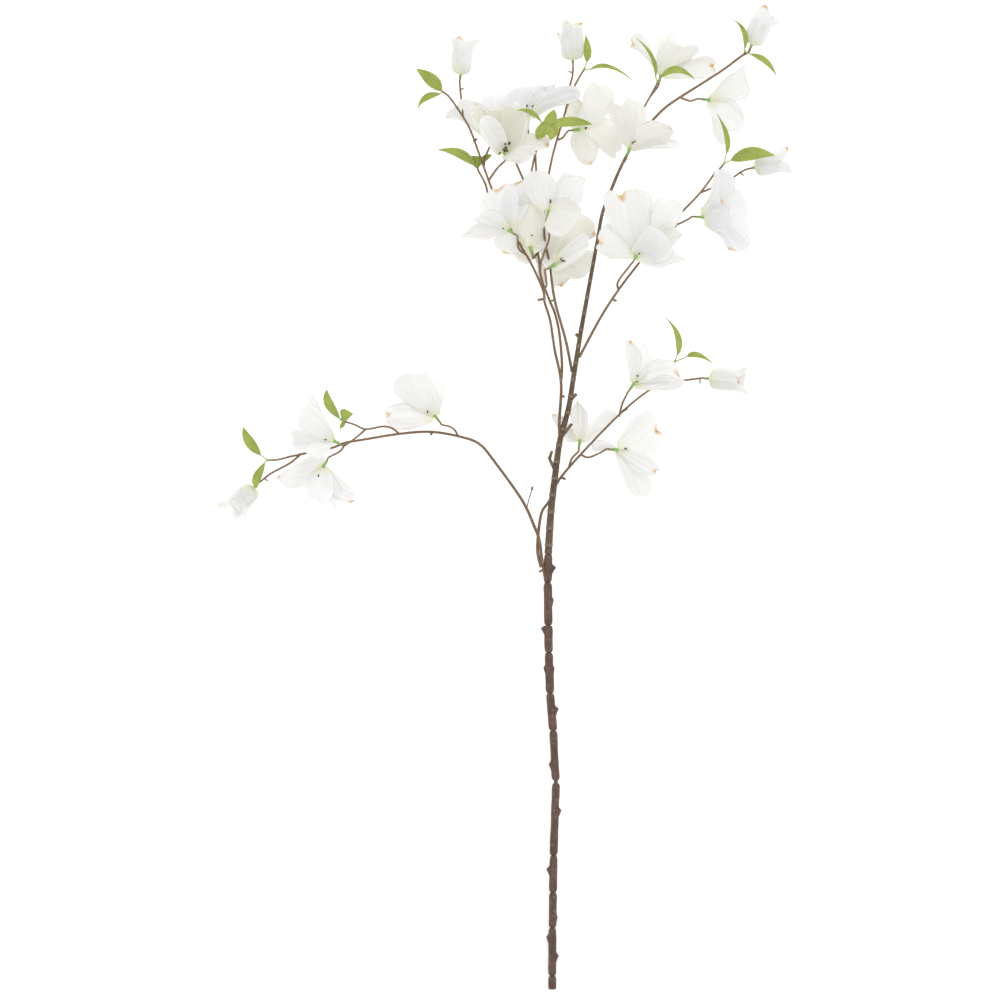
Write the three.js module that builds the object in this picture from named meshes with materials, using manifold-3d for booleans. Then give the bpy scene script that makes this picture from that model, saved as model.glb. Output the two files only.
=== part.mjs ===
// Dogwood flower branch: a made spray of bark sleeves threaded on a core, side stems,
// four-petalled blossoms, tulip-shaped buds and sprigs of leaves, lying on a flat surface.
// Millimetres. In the layout below, X = 0 and Y = 0 at the cut end, +Y runs along the branch
// to its flowering end and Z = 0 is the surface that it lies on.
import * as THREE from "three";
import { mergeVertices } from "three/addons/utils/BufferGeometryUtils.js";
import Module from "manifold-3d";

const wasm = await Module();
wasm.setup();

// Driving dimensions.
const CENTRE_X = -51; // middle of the outline across the branch, in the layout
const CENTRE_Y = 542; // middle of the outline along the branch, in the layout
const SEAT = 0.3; // clearance where one piece sits on another
const CORE_RADIUS = 2.2;
const CORE_START = 3; // from the cut end to the end of the core
const TRUNK_END = 481; // from the cut end to the foot of the leader
const SLEEVE_JOINT = 0.7; // groove between two neighbouring sleeves
const CALYX_LENGTH = 8;
const CALYX_FOOT_RADIUS = 1.5;
const CALYX_TOP_RADIUS = 3.4;
const PETAL_THICKNESS = 1;
const PETAL_BASE_RADIUS = 1.8; // from the blossom's axis to the foot of each petal
const PETAL_CLAW = 0.1; // width of a petal where it leaves the calyx, as a share of its widest
const BUD_LENGTH = 42;
const BUD_RADIUS = 13;
const LEAF_THICKNESS = 0.8;
const STALK_FOOT_RADIUS = 1.2;
const STALK_END_RADIUS = 1;
const STEM_SIDES = 6;
const TWIG_SIDES = 4;
const SLEEVE_SIDES = 8;

const MATERIALS = {
  bark: new THREE.MeshStandardMaterial({ color: 0x5a4038, roughness: 0.8, metalness: 0 }),
  core: new THREE.MeshStandardMaterial({ color: 0x6b5a4c, roughness: 0.6, metalness: 0 }),
  twig: new THREE.MeshStandardMaterial({ color: 0x6d4a33, roughness: 0.75, metalness: 0 }),
  petal: new THREE.MeshStandardMaterial({ color: 0xf3f1ea, roughness: 0.85, metalness: 0 }),
  leaf: new THREE.MeshStandardMaterial({ color: 0x86a83e, roughness: 0.8, metalness: 0 }),
};

const branch = new THREE.Group();
branch.position.set(-CENTRE_X, -CENTRE_Y, 0);

// ---- Solids -------------------------------------------------------------------------------

const vector = (place) => new THREE.Vector3(...place);

// A closed geometry as a solid that can be joined and cut.
function solidOf(geometry) {
  geometry.deleteAttribute("normal");
  geometry.deleteAttribute("uv");
  const merged = mergeVertices(geometry, 1e-4);
  const vertProperties = new Float32Array(merged.attributes.position.array);
  const triVerts = new Uint32Array(merged.index.array);
  return new wasm.Manifold(new wasm.Mesh({ numProp: 3, vertProperties, triVerts }));
}

// The largest body of a solid, without slivers that a cut left loose.
function largestBody(solid) {
  const bodies = solid.decompose();
  bodies.sort((a, b) => b.volume() - a.volume());
  return bodies[0];
}

// One closed skin through rings of points. Every ring has the same even count of points, and
// each end is closed by strips that run across the ring.
function loft(rings) {
  const count = rings[0].length;
  const positions = rings.flat().flatMap((point) => [point.x, point.y, point.z]);
  const faces = [];
  for (let ring = 0; ring < rings.length - 1; ring++) {
    for (let i = 0; i < count; i++) {
      const a = ring * count + i;
      const b = ring * count + ((i + 1) % count);
      faces.push(a, b, b + count, a, b + count, a + count);
    }
  }
  const last = (rings.length - 1) * count;
  for (let i = 0; i < count / 2 - 1; i++) {
    const mirror = count - 1 - i;
    faces.push(i, mirror, mirror - 1, i, mirror - 1, i + 1);
    faces.push(last + i, last + i + 1, last + mirror - 1, last + i, last + mirror - 1, last + mirror);
  }
  const geometry = new THREE.BufferGeometry();
  geometry.setAttribute("position", new THREE.Float32BufferAttribute(positions, 3));
  geometry.setIndex(faces);
  return solidOf(geometry);
}

// Adds one named piece to the branch.
function piece(name, solid, material) {
  const mesh = solid.getMesh();
  const geometry = new THREE.BufferGeometry();
  geometry.setAttribute("position", new THREE.Float32BufferAttribute(mesh.vertProperties, 3));
  geometry.setIndex([...mesh.triVerts]);
  const part = new THREE.Mesh(geometry, material);
  part.name = name;
  branch.add(part);
}

// A ring of points round a place, square to a direction. It starts half a step round, so
// that its first and last points mirror each other for the end strips of a loft.
function ringAt(place, direction, radius, sides) {
  const across = new THREE.Vector3(0, 0, 1).cross(direction);
  if (across.lengthSq() < 1e-6) across.set(1, 0, 0);
  across.normalize();
  const up = direction.clone().cross(across).normalize();
  return Array.from({ length: sides }, (_, i) => {
    const angle = ((i + 0.5) / sides) * 2 * Math.PI;
    return place
      .clone()
      .addScaledVector(across, radius * Math.cos(angle))
      .addScaledVector(up, radius * Math.sin(angle));
  });
}

// A tapering stem along a route of places. Its radius runs evenly from the first to the last.
function stem(route, startRadius, endRadius, sides = STEM_SIDES) {
  const places = route.map(vector);
  const rings = places.map((place, i) => {
    const before = places[Math.max(0, i - 1)];
    const after = places[Math.min(places.length - 1, i + 1)];
    const direction = after.clone().sub(before).normalize();
    const radius = THREE.MathUtils.lerp(startRadius, endRadius, i / (places.length - 1));
    return ringAt(place, direction, radius, sides);
  });
  return loft(rings);
}

// A short stub or thorn from one place to another.
const stub = (from, to, radius = 1.4) => stem([from, to], radius, radius * 0.8, TWIG_SIDES);

// A thin twig along a route.
const twig = (route, startRadius, endRadius) => stem(route, startRadius, endRadius, TWIG_SIDES);

// The last places of a stalk: it comes up along the axis of what it carries and stops a seat
// short of its foot.
function stalkEnd({ foot, axis }) {
  const along = vector(axis).normalize();
  const near = vector(foot).addScaledVector(along, -5);
  const end = vector(foot).addScaledVector(along, -SEAT);
  return [near.toArray(), end.toArray()];
}

const join = (solids) => solids.reduce((all, next) => all.add(next));

// ---- Trunk --------------------------------------------------------------------------------

// Middle line of the trunk, from the cut end to where the leader takes over.
const TRUNK_LINE = [
  [0, 0, 4.8],
  [0, 68, 8.4],
  [1, 147, 12.6],
  [4, 227, 17.5],
  [2, 286, 20.5],
  [-1, 327, 23],
  [-3, 372, 25.5],
  [-4, 449, 30],
  [-4, TRUNK_END, 32],
];
const trunkCurve = new THREE.CatmullRomCurve3(TRUNK_LINE.map(vector));

// The place on the trunk's middle line at a distance along Y.
function trunkAt(y) {
  const next = Math.max(1, TRUNK_LINE.findIndex((place) => place[1] >= y));
  const [from, to] = [vector(TRUNK_LINE[next - 1]), vector(TRUNK_LINE[next])];
  return from.lerp(to, (y - from.y) / (to.y - from.y)).toArray();
}

// Sleeves of bark in order from the cut end: where each starts and ends along Y, its radius,
// and the thorns and cut side shoots on it: distance along Y, side (-1 left, 1 right), reach.
const SLEEVES = [
  { from: 0, to: 15, radius: 4.6, shoots: [] },
  { from: 15, to: 68, radius: 5, shoots: [[38, 1, 7], [59, -1, 6]] },
  { from: 68, to: 107, radius: 5, shoots: [[80, 1, 7]] },
  { from: 107, to: 148, radius: 5, shoots: [[133, -1, 7.5]] },
  { from: 148, to: 228, radius: 5.1, shoots: [[198, 1, 8]] },
  { from: 231, to: 286, radius: 5.1, shoots: [[249, -1, 8]] },
  { from: 286, to: 327, radius: 4.8, shoots: [[310, 1, 8.5]] },
  { from: 327, to: 372, radius: 4.7, shoots: [[355, -1, 6.5]] },
  { from: 372, to: 402, radius: 4.6, shoots: [[400, -1, 8]] },
  { from: 402, to: 449, radius: 4.5, shoots: [[430, 1, 6]] },
  { from: 449, to: TRUNK_END, radius: 4.4, shoots: [[466, 1, 9]] },
];

// The sleeve's outer shape, with a low collar at each end.
function sleeveBody({ from, to, radius }) {
  const start = from + SLEEVE_JOINT / 2;
  const end = to - SLEEVE_JOINT / 2;
  const rim = Math.min(4, (end - start) / 4);
  const stations = [start, start + rim, (start + end) / 2, end - rim, end];
  const radii = [radius * 0.94, radius, radius * 0.93, radius * 0.97, radius * 0.9];
  const rings = stations.map((y, i) => {
    const place = vector(trunkAt(y));
    const direction = trunkCurve.getTangentAt(y / TRUNK_END);
    return ringAt(place, direction, radii[i], SLEEVE_SIDES);
  });
  return loft(rings);
}

// A round rod along the trunk's middle line.
function coreBody(radius, from, to) {
  const inner = TRUNK_LINE.map((place) => place[1]).filter((y) => y > from + 1 && y < to - 1);
  const route = [from, ...inner, to].map(trunkAt);
  return stem(route, radius, radius, 8);
}

function addTrunk() {
  SLEEVES.forEach((sleeve, index) => {
    let body = sleeveBody(sleeve);
    for (const [y, side, reach] of sleeve.shoots) {
      const root = trunkAt(y - 3);
      const tip = trunkAt(y + 2);
      const inside = [root[0] + side * 3.2, root[1], root[2]];
      body = body.add(stub(inside, [tip[0] + side * reach, tip[1], tip[2] + 1], 1.6));
    }
    // The first sleeve's bore is blind; the others run right through.
    const boreStart = Math.max(CORE_START - SEAT, sleeve.from - 2);
    const boreEnd = Math.min(TRUNK_END, sleeve.to + 2);
    body = largestBody(body.subtract(coreBody(CORE_RADIUS + SEAT, boreStart, boreEnd)));
    piece(`bark_sleeve_${String(index + 1).padStart(2, "0")}`, body, MATERIALS.bark);
  });
  piece("stem_core", coreBody(CORE_RADIUS, CORE_START, TRUNK_END - SLEEVE_JOINT / 2), MATERIALS.core);
}

// ---- Blossoms -----------------------------------------------------------------------------

// Each blossom: the middle of its petals' base, the direction it opens in, and its petals:
// how far the tip lies from that middle in X, Y and Z, the petal's width, and the degrees by
// which it is rolled so that its inner face looks up (more than 0) or down (less than 0).
const BLOSSOMS = {
  blossom_01: {
    centre: [-129, 633, 42],
    axis: [-0.6, 0.75, 0.1],
    petals: [
      [-51, -8, -8, 38, -40],
      [-31, 39, 24, 52, 0],
      [2, 44, -14, 42, 25],
      [-28, 20, -38.5, 40, 0],
    ],
  },
  blossom_02: {
    centre: [-240, 605, 52],
    axis: [-0.9, 0.4, 0.1],
    petals: [
      [-23, 50, -4, 34, -35],
      [-37, 24, 26, 44, 0],
      [-45, 2, -14, 36, 40],
      [-20, -19, 26, 34, -25],
    ],
  },
  blossom_03: {
    centre: [-252, 576, 38],
    axis: [-0.5, -0.85, 0.05],
    petals: [
      [-54, -11, -6, 36, -35],
      [-4, -41, 20, 44, 0],
      [16, -42, -16, 34, -30],
      [32, -36, -31.5, 26, -30],
    ],
  },
  blossom_04: {
    centre: [31, 606, 26],
    axis: [0.15, 0.95, -0.1],
    petals: [
      [-3, 47, 4, 34, 0],
      [41, 29, 0, 34, -40],
      [-30, 32, -8, 30, 0],
      [-18, 8, -16, 28, 0],
    ],
  },
  blossom_05: {
    centre: [72, 595, 36],
    axis: [0.85, -0.1, 0.4],
    petals: [
      [43, 29, 6, 46, 50],
      [43, -24, 14, 38, 45],
      [28, -50, -4, 38, 30],
      [-28, 8, -31.6, 22, 0],
    ],
  },
  blossom_06: {
    centre: [90, 668, 50],
    axis: [0.55, 0.8, 0.2],
    petals: [
      [-10, 47, 6, 32, 20],
      [8, 42, -22, 38, 0],
      [50, 16, -4, 42, 55],
      [55, 2, 12, 34, -40],
    ],
  },
  blossom_07: {
    centre: [92, 807, 66],
    axis: [0.2, 0.35, 0.9],
    petals: [
      [-21, 67, 20, 50, 0],
      [30, 58, -2, 36, 0],
      [-40, 10, 22, 42, 0],
      [41, 24, 12, 38, 0],
      [46, -6, 16, 38, 0],
    ],
  },
  blossom_08: {
    centre: [167, 851, 54],
    axis: [0.97, -0.05, 0.1],
    petals: [
      [20, 51, 4, 36, -40],
      [26, 7, 40, 44, 0],
      [44, -2, -24, 50, 0],
      [33, -38, 4, 38, -40],
    ],
  },
  blossom_09: {
    centre: [173, 980, 47],
    axis: [0.9, -0.1, 0.1],
    petals: [
      [37, 33, 8, 40, -50],
      [35, -25, 6, 42, -60],
      [13, -45, -18, 32, -20],
      [26, 6, -43.5, 36, 0],
    ],
  },
  blossom_10: {
    centre: [120, 1008, 32],
    axis: [0.25, 0.95, 0],
    petals: [
      [-32, 38, 4, 32, 30],
      [22, 35, 22, 44, 0],
      [5, 45, -20, 38, 0],
      [58, 2, -2, 34, 50],
    ],
  },
  blossom_11: {
    centre: [85, 926, 68],
    axis: [0.3, 0.9, 0.2],
    petals: [
      [-7, 50, 0, 44, 60],
      [46, 24, 8, 36, -50],
      [53, 9, -8, 24, -20],
      [-14, 36, 20, 40, 0],
    ],
  },
  blossom_12: {
    centre: [30, 948, 42],
    axis: [0.7, 0.1, 0.2],
    petals: [
      [24, 42, 4, 42, 60],
      [42, -24, -14, 46, 60],
      [12, -38, -8, 36, -60],
      [-14, 28, -24, 34, 0],
    ],
  },
  blossom_13: {
    centre: [-26, 963, 60],
    axis: [0.05, 0.98, 0.1],
    petals: [
      [-9, 30, -38, 42, 0],
      [30, 34, -26, 26, 0],
      [57, 24, 8, 36, 30],
      [-34, 6, 42, 32, 0],
    ],
  },
  blossom_14: {
    centre: [-52, 921, 68],
    axis: [-0.05, 0.6, 0.8],
    petals: [
      [-2, 48, 18, 52, 0],
      [-31, 38, 32, 40, 0],
      [28, 28, 34, 40, 0],
      [20, 0, 44, 40, 0],
    ],
  },
  blossom_15: {
    centre: [-75, 941, 45],
    axis: [-0.5, 0.8, -0.1],
    petals: [
      [-41, 26, -3, 28, -20],
      [-28, 41, -14, 34, 0],
      [-10, 36, -28, 30, 0],
      [-16, 6, -41, 32, 0],
    ],
  },
  blossom_16: {
    centre: [-48, 837, 62],
    axis: [-0.7, 0.5, 0.3],
    petals: [
      [0, 57, -2, 44, 65],
      [-40, 13, 22, 32, -40],
      [-53, -7, 4, 30, 30],
      [4, -24, -21, 38, 60],
    ],
  },
  blossom_17: {
    centre: [-4, 858, 68],
    axis: [0.2, 0.9, 0.3],
    petals: [
      [-13, 43, 18, 42, -50],
      [38, 35, -4, 40, 50],
      [34, -12, 20, 44, 20],
      [26, 14, -38, 28, 0],
    ],
  },
  blossom_18: {
    centre: [3, 799, 54],
    axis: [0.8, 0.5, 0],
    petals: [
      [44, 41, -16, 36, 40],
      [33, 20, -2, 40, 40],
      [38, -3, -26, 32, 30],
      [8, -18, -47, 38, 20],
    ],
  },
  blossom_19: {
    centre: [-24, 818, 56],
    axis: [-0.2, 0.7, 0.1],
    petals: [
      [-4, 53, 6, 42, -75],
      [14, -38, -30, 16, 0],
      [-5, 12, -44, 20, 0],
    ],
  },
  blossom_20: {
    centre: [-54, 958, 38],
    axis: [0, 0.9, -0.2],
    petals: [
      [-22, 23, 22, 28, 0],
      [3, 28, -22, 34, 0],
      [28, 12, -14, 32, 0],
      [-4, 8, -34.5, 30, 0],
    ],
  },
};
for (const blossom of Object.values(BLOSSOMS)) {
  const along = vector(blossom.axis).normalize();
  blossom.foot = vector(blossom.centre).addScaledVector(along, -CALYX_LENGTH).toArray();
}

// A petal's half width along it, as a share of its widest: a narrow claw, widest at two
// thirds, and a broad blunt tip.
function petalOutline(u) {
  const rise = Math.sin((Math.PI / 2) * Math.min(1, u / 0.66)) ** 1.3;
  const fall = u > 0.66 ? Math.sqrt(1 - 0.8 * ((u - 0.66) / 0.34) ** 2) : 1;
  return (PETAL_CLAW + (1 - PETAL_CLAW) * rise) * fall;
}

// One petal as a thin cupped slab. Its middle line leaves the base near the blossom's axis and
// bends over to the tip; its cross-section is an arc that is deepest near the base.
function petal(centre, axis, [dx, dy, dz, width, roll], extra = 0) {
  const along = vector(axis).normalize();
  const tip = new THREE.Vector3(dx, dy, dz);
  const reach = tip.length();
  const heading = tip.clone().normalize();
  const side = along.clone().cross(heading).normalize();
  const outwards = heading.clone().addScaledVector(along, -heading.dot(along)).normalize();
  const base = vector(centre).addScaledVector(outwards, PETAL_BASE_RADIUS);
  const turn = THREE.MathUtils.degToRad(roll) * (side.z > 0 ? -1 : 1);
  side.applyAxisAngle(heading, turn);
  const rise = 0.45;
  const control = along.clone().multiplyScalar(rise).addScaledVector(heading, 1 - rise);
  control.normalize().multiplyScalar(0.55 * reach);
  const rows = [0, 0.26, 0.62, 1];
  const columns = [-1, -0.36, 0.36, 1];
  const half = PETAL_THICKNESS / 2 + extra;
  const rings = rows.map((u) => {
    const middle = control.clone().multiplyScalar(2 * u * (1 - u)).addScaledVector(tip, u * u);
    const tangent = control.clone().multiplyScalar(1 - u);
    tangent.addScaledVector(tip.clone().sub(control), u).normalize();
    const inner = tangent.clone().cross(side).normalize();
    const halfWidth = (width / 2) * petalOutline(u);
    const bend = 0.95 * (1 - 0.55 * u);
    const skin = (v, offset) => {
      const angle = bend * v;
      const normal = inner.clone().multiplyScalar(Math.cos(angle));
      normal.addScaledVector(side, -Math.sin(angle));
      return base
        .clone()
        .add(middle)
        .addScaledVector(side, (halfWidth * Math.sin(angle)) / bend)
        .addScaledVector(inner, (halfWidth * (1 - Math.cos(angle))) / bend)
        .addScaledVector(normal, offset);
    };
    const outside = columns.map((v) => skin(v, -half));
    const inside = columns.map((v) => skin(v, half)).reverse();
    return [...outside, ...inside];
  });
  return loft(rings);
}

// The green cone that holds the petals, from the stalk's end to just past their base.
function calyx(foot, axis, length, footRadius, topRadius) {
  const along = vector(axis).normalize();
  const stations = [0, length * 0.5, length, length + 1.6];
  const radii = [footRadius, footRadius + (topRadius - footRadius) * 0.45, topRadius, topRadius * 0.6];
  const rings = stations.map((s, i) => {
    const place = vector(foot).addScaledVector(along, s);
    return ringAt(place, along, radii[i], STEM_SIDES);
  });
  return loft(rings);
}

function blossomBody({ centre, foot, axis, petals }, extra = 0) {
  const cup = calyx(foot, axis, CALYX_LENGTH, CALYX_FOOT_RADIUS, CALYX_TOP_RADIUS);
  return join([cup, ...petals.map((one) => petal(centre, axis, one, extra))]);
}

// ---- Buds ---------------------------------------------------------------------------------

const BUDS = {
  bud_01: { foot: [-325, 557, 24], axis: [-0.72, -0.68, -0.12] },
  bud_02: { foot: [169, 674, 31], axis: [1, -0.06, 0] },
  bud_03: { foot: [219, 905, 44], axis: [0.97, 0.2, 0] },
  bud_04: { foot: [218, 1037, 48], axis: [0.4, 0.92, 0] },
  bud_05: { foot: [-101, 1004, 48], axis: [0.1, 0.99, 0] },
  bud_06: { foot: [23, 1020, 47], axis: [-0.03, 1, 0] },
};

// A closed bud: a round belly, a slight waist, and four petal tips that flare outwards.
function budBody({ foot, axis }) {
  const along = vector(axis).normalize();
  const start = vector(foot);
  const shares = [
    [0.1, 0.2],
    [0.16, 0.62],
    [0.32, 0.95],
    [0.55, 1],
    [0.78, 0.86],
    [0.9, 0.95],
  ];
  const rings = shares.map(([s, r]) => {
    const place = start.clone().addScaledVector(along, s * BUD_LENGTH);
    return ringAt(place, along, r * BUD_RADIUS, 8);
  });
  const mouth = ringAt(start.clone().addScaledVector(along, BUD_LENGTH), along, 1, 8);
  const middle = start.clone().addScaledVector(along, BUD_LENGTH);
  const flared = mouth.map((point, i) => {
    const outwards = point.clone().sub(middle);
    const isTip = i % 2 === 0;
    return middle
      .clone()
      .addScaledVector(outwards, BUD_RADIUS * (isTip ? 1.25 : 0.9))
      .addScaledVector(along, isTip ? 2 : -3);
  });
  const cup = calyx(foot, axis, 5, CALYX_FOOT_RADIUS, CALYX_TOP_RADIUS);
  return cup.add(loft([...rings, flared]));
}

// ---- Leaves -------------------------------------------------------------------------------

// Each sprig: its foot on the stalk, the direction it grows in, and its leaves: tip, middle
// (both from the foot) and width.
const SPRIGS = {
  leaves_left_tip: {
    foot: [-312, 584, 33],
    axis: [-1, 0, 0],
    leaves: [
      { tip: [-26, 37, 4], middle: [-22, 9, 5], width: 13 },
      { tip: [-12, -31, 2], middle: [-17, -6, 8], width: 10 },
    ],
  },
  leaves_left_stem: {
    foot: [-231, 628, 45],
    axis: [-0.9, 0.4, 0],
    leaves: [
      { tip: [-15, 34, 6], middle: [-20, 8, 4], width: 12 },
      { tip: [12, 7, 8], middle: [1, 8, 4], width: 11 },
      { tip: [-2, -9, 3], middle: [-2, -4, 2], width: 4 },
    ],
  },
  leaves_right_low: {
    foot: [135, 692, 33],
    axis: [0.4, 0.9, 0],
    leaves: [
      { tip: [-11, 50, 6], middle: [11, 28, 4], width: 9 },
      { tip: [41, -2, 2], middle: [18, 16, 6], width: 9 },
    ],
  },
  leaves_right_stem: {
    foot: [189, 910, 46],
    axis: [0.6, 0.8, 0],
    leaves: [
      { tip: [-8, 56, 20], middle: [11, 30, 8], width: 9 },
      { tip: [55, 8, 22], middle: [22, 12, 12], width: 16 },
    ],
  },
  leaves_top_right: {
    foot: [212, 1033, 52],
    axis: [0, 0.3, 0.95],
    leaves: [
      { tip: [-15, 36, 6], middle: [8, 22, 6], width: 9 },
      { tip: [34, -26, 4], middle: [22, 0, 6], width: 9 },
    ],
  },
  leaves_top_middle: {
    foot: [116, 1000, 45],
    axis: [0.2, 0.6, 0.8],
    leaves: [
      { tip: [-23, 46, 10], middle: [3, 28, 6], width: 9 },
      { tip: [42, 2, 4], middle: [17, 20, 6], width: 10 },
    ],
  },
  leaves_top_centre: {
    foot: [35, 1013, 52],
    axis: [0.5, 0.8, 0],
    leaves: [
      { tip: [0, 37, 2], middle: [6, 14, 4], width: 10 },
      { tip: [53, -11, 4], middle: [26, 12, 6], width: 9 },
    ],
  },
  leaves_crown: {
    foot: [-9, 950, 58],
    axis: [0.2, 0.8, 0.4],
    leaves: [
      { tip: [-31, 16, 36], middle: [-6, 15, 18], width: 8 },
      { tip: [11, 17, 6], middle: [4, 8, 4], width: 11 },
      { tip: [54, 1, 8], middle: [22, 13, 6], width: 11 },
      { tip: [-9, -16, 6], middle: [-5, -5, 6], width: 14 },
      { tip: [8, -15, 6], middle: [4, -5, 6], width: 12 },
    ],
  },
  leaves_left_crown: {
    foot: [-82, 907, 46],
    axis: [-0.2, 0.9, 0.1],
    leaves: [
      { tip: [-40, 18, 4], middle: [-12, 18, 6], width: 12 },
      { tip: [15, 12, -4], middle: [6, 8, -4], width: 8 },
      { tip: [4, 12, -6], middle: [0, 6, -4], width: 11 },
    ],
  },
  leaves_top_left: {
    foot: [-120, 989, 50],
    axis: [-0.7, 0.5, 0],
    leaves: [
      { tip: [-30, 25, 4], middle: [-10, 14, 5], width: 14 },
      { tip: [-28, -16, 2], middle: [-16, 6, 5], width: 12 },
    ],
  },
};

// One leaf: a thin blade folded a little along its midrib.
function leaf(foot, { tip, middle, width }) {
  const start = vector(foot);
  const end = vector(tip);
  const control = vector(middle);
  const shares = [
    [0, 0.12],
    [0.22, 0.35],
    [0.5, 1],
    [1, 0.08],
  ];
  const rings = shares.map(([u, share]) => {
    const place = control.clone().multiplyScalar(2 * u * (1 - u)).addScaledVector(end, u * u);
    const tangent = control.clone().multiplyScalar(1 - u);
    tangent.addScaledVector(end.clone().sub(control), u).normalize();
    const side = new THREE.Vector3(0, 0, 1).cross(tangent).normalize();
    const up = tangent.clone().cross(side).normalize();
    const edge = Math.max(0.5, (share * width) / 2);
    const fold = edge * 0.35;
    const thick = LEAF_THICKNESS / 2;
    const at = (x, z) =>
      start.clone().add(place).addScaledVector(side, x).addScaledVector(up, z);
    return [
      at(-edge, fold - thick),
      at(0, -thick),
      at(edge, fold - thick),
      at(edge, fold + thick),
      at(0, thick),
      at(-edge, fold + thick),
    ];
  });
  return loft(rings);
}

function sprigBody({ foot, axis, leaves }) {
  const along = vector(axis).normalize();
  const hubEnd = vector(foot).addScaledVector(along, 2.4).toArray();
  const hub = twig([foot, hubEnd], 1.3, 1);
  const middle = vector(foot).addScaledVector(along, 1.2).toArray();
  return join([hub, ...leaves.map((one) => leaf(middle, one))]);
}

// ---- Stems --------------------------------------------------------------------------------

// Middle lines of the stems, each from inside what it grows from to where its last stalk starts.
const LEADER = [
  [-4, TRUNK_END, 32],
  [-1, 528, 34.5],
  [4, 571, 37],
  [9, 607, 39],
  [18, 640, 41],
  [24, 677, 43],
  [31, 721, 46],
  [36, 749, 49],
  [44, 793, 54],
  [50, 826, 55],
  [55, 854, 55],
  [63, 876, 54],
  [77, 909, 53],
  [94, 939, 52],
  [110, 957, 52],
  [124, 971, 52],
  [141, 983, 52],
  [185, 1011, 50],
  [208, 1028, 49],
];
const LEFT_ARCH = [
  [-6, 447, 30],
  [-11, 474, 33],
  [-14, 496, 34],
  [-19, 510, 35],
  [-33, 540, 37],
  [-63, 582, 40],
  [-79, 601, 41],
  [-98, 609, 41],
  [-132, 615, 41],
  [-167, 613, 40],
  [-211, 606, 38],
  [-228, 603, 37],
  [-244, 597, 37],
  [-279, 590, 36],
];
const RIGHT_LOW = [
  [-12, 466, 33],
  [-16, 487, 31],
  [-12, 524, 27],
  [-3, 539, 26],
  [6, 559, 26],
  [18, 575, 28],
  [53, 613, 33],
  [85, 644, 35],
  [112, 664, 34],
  [130, 670, 33],
  [147, 672, 32],
];
const CROWN_LEFT = [
  [9, 605, 39],
  [8, 625, 42],
  [10, 669, 45],
  [3, 705, 48],
  [-2, 737, 50],
  [-8, 757, 51],
  [-10, 771, 51],
  [-24, 802, 51],
  [-45, 837, 48],
  [-64, 877, 46],
  [-76, 909, 50],
  [-90, 947, 54],
  [-103, 969, 55],
  [-112, 982, 52],
];
const CROWN_INNER = [
  [10, 671, 45],
  [11, 690, 42],
  [8, 724, 43],
  [3, 746, 43],
  [-2, 758, 43],
  [-12, 785, 44],
  [-15, 810, 44],
  [-24, 865, 43],
  [-26, 881, 45],
  [-21, 909, 51],
  [-18, 922, 53],
];
const CROWN_MIDDLE = [
  [22, 681, 43],
  [15, 716, 47],
  [3, 760, 47],
  [-3, 802, 47],
  [-8, 826, 47],
  [-8, 862, 48],
  [-4, 895, 51],
  [1, 920, 54],
  [8, 945, 51],
  [17, 976, 46],
  [18, 993, 46],
];
const CROWN_RIGHT = [
  [30, 697, 45],
  [53, 740, 44],
  [73, 771, 45],
  [95, 800, 47],
  [121, 834, 48],
  [141, 855, 49],
  [163, 878, 48],
  [180, 901, 46],
];

// A stalk from a place on a stem, by way of the places after it, to what it carries.
function stalk(target, ...route) {
  return twig([...route, ...stalkEnd(target)], STALK_FOOT_RADIUS, STALK_END_RADIUS);
}

// A named stem: its main line with its stalks and stubs, cut clear of what it grows from.
function addStem(name, bodies, parents) {
  let solid = join(bodies);
  for (const parent of parents) solid = solid.subtract(parent);
  piece(name, largestBody(solid), MATERIALS.twig);
}

const leaderBody = (extra = 0) =>
  stem([...LEADER, ...stalkEnd(BUDS.bud_04)], 4.3 + extra, 1.1 + extra, SLEEVE_SIDES);
const leftArchBody = (extra = 0) => stem(LEFT_ARCH, 2.7 + extra, 1.5 + extra);
const crownLeftBody = (extra = 0) =>
  stem([...CROWN_LEFT, ...stalkEnd(SPRIGS.leaves_top_left)], 2.4 + extra, 1.1 + extra);

function addLeader() {
  const bodies = [
    leaderBody(),
    stub([4, 571, 37], [-3, 586, 38]),
    stub([-3, 585, 38], [0, 594, 38], 1.3),
    stub([10, 609, 39], [22, 624, 40]),
    stub([19, 648, 41], [27, 657, 42]),
    stub([32, 717, 46], [26, 723, 46]),
    stalk(BLOSSOMS.blossom_09, [142, 982, 52], [152, 979, 50]),
    stalk(BLOSSOMS.blossom_11, [76, 907, 53]),
    stalk(BLOSSOMS.blossom_10, [108, 984, 43]),
    stalk(SPRIGS.leaves_top_middle, [94, 939, 52], [96, 955, 49], [100, 969, 46], [108, 984, 43]),
    stalk(SPRIGS.leaves_top_right, [210, 1029, 49]),
  ];
  piece("leader_stem", join(bodies), MATERIALS.bark);
}

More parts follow.
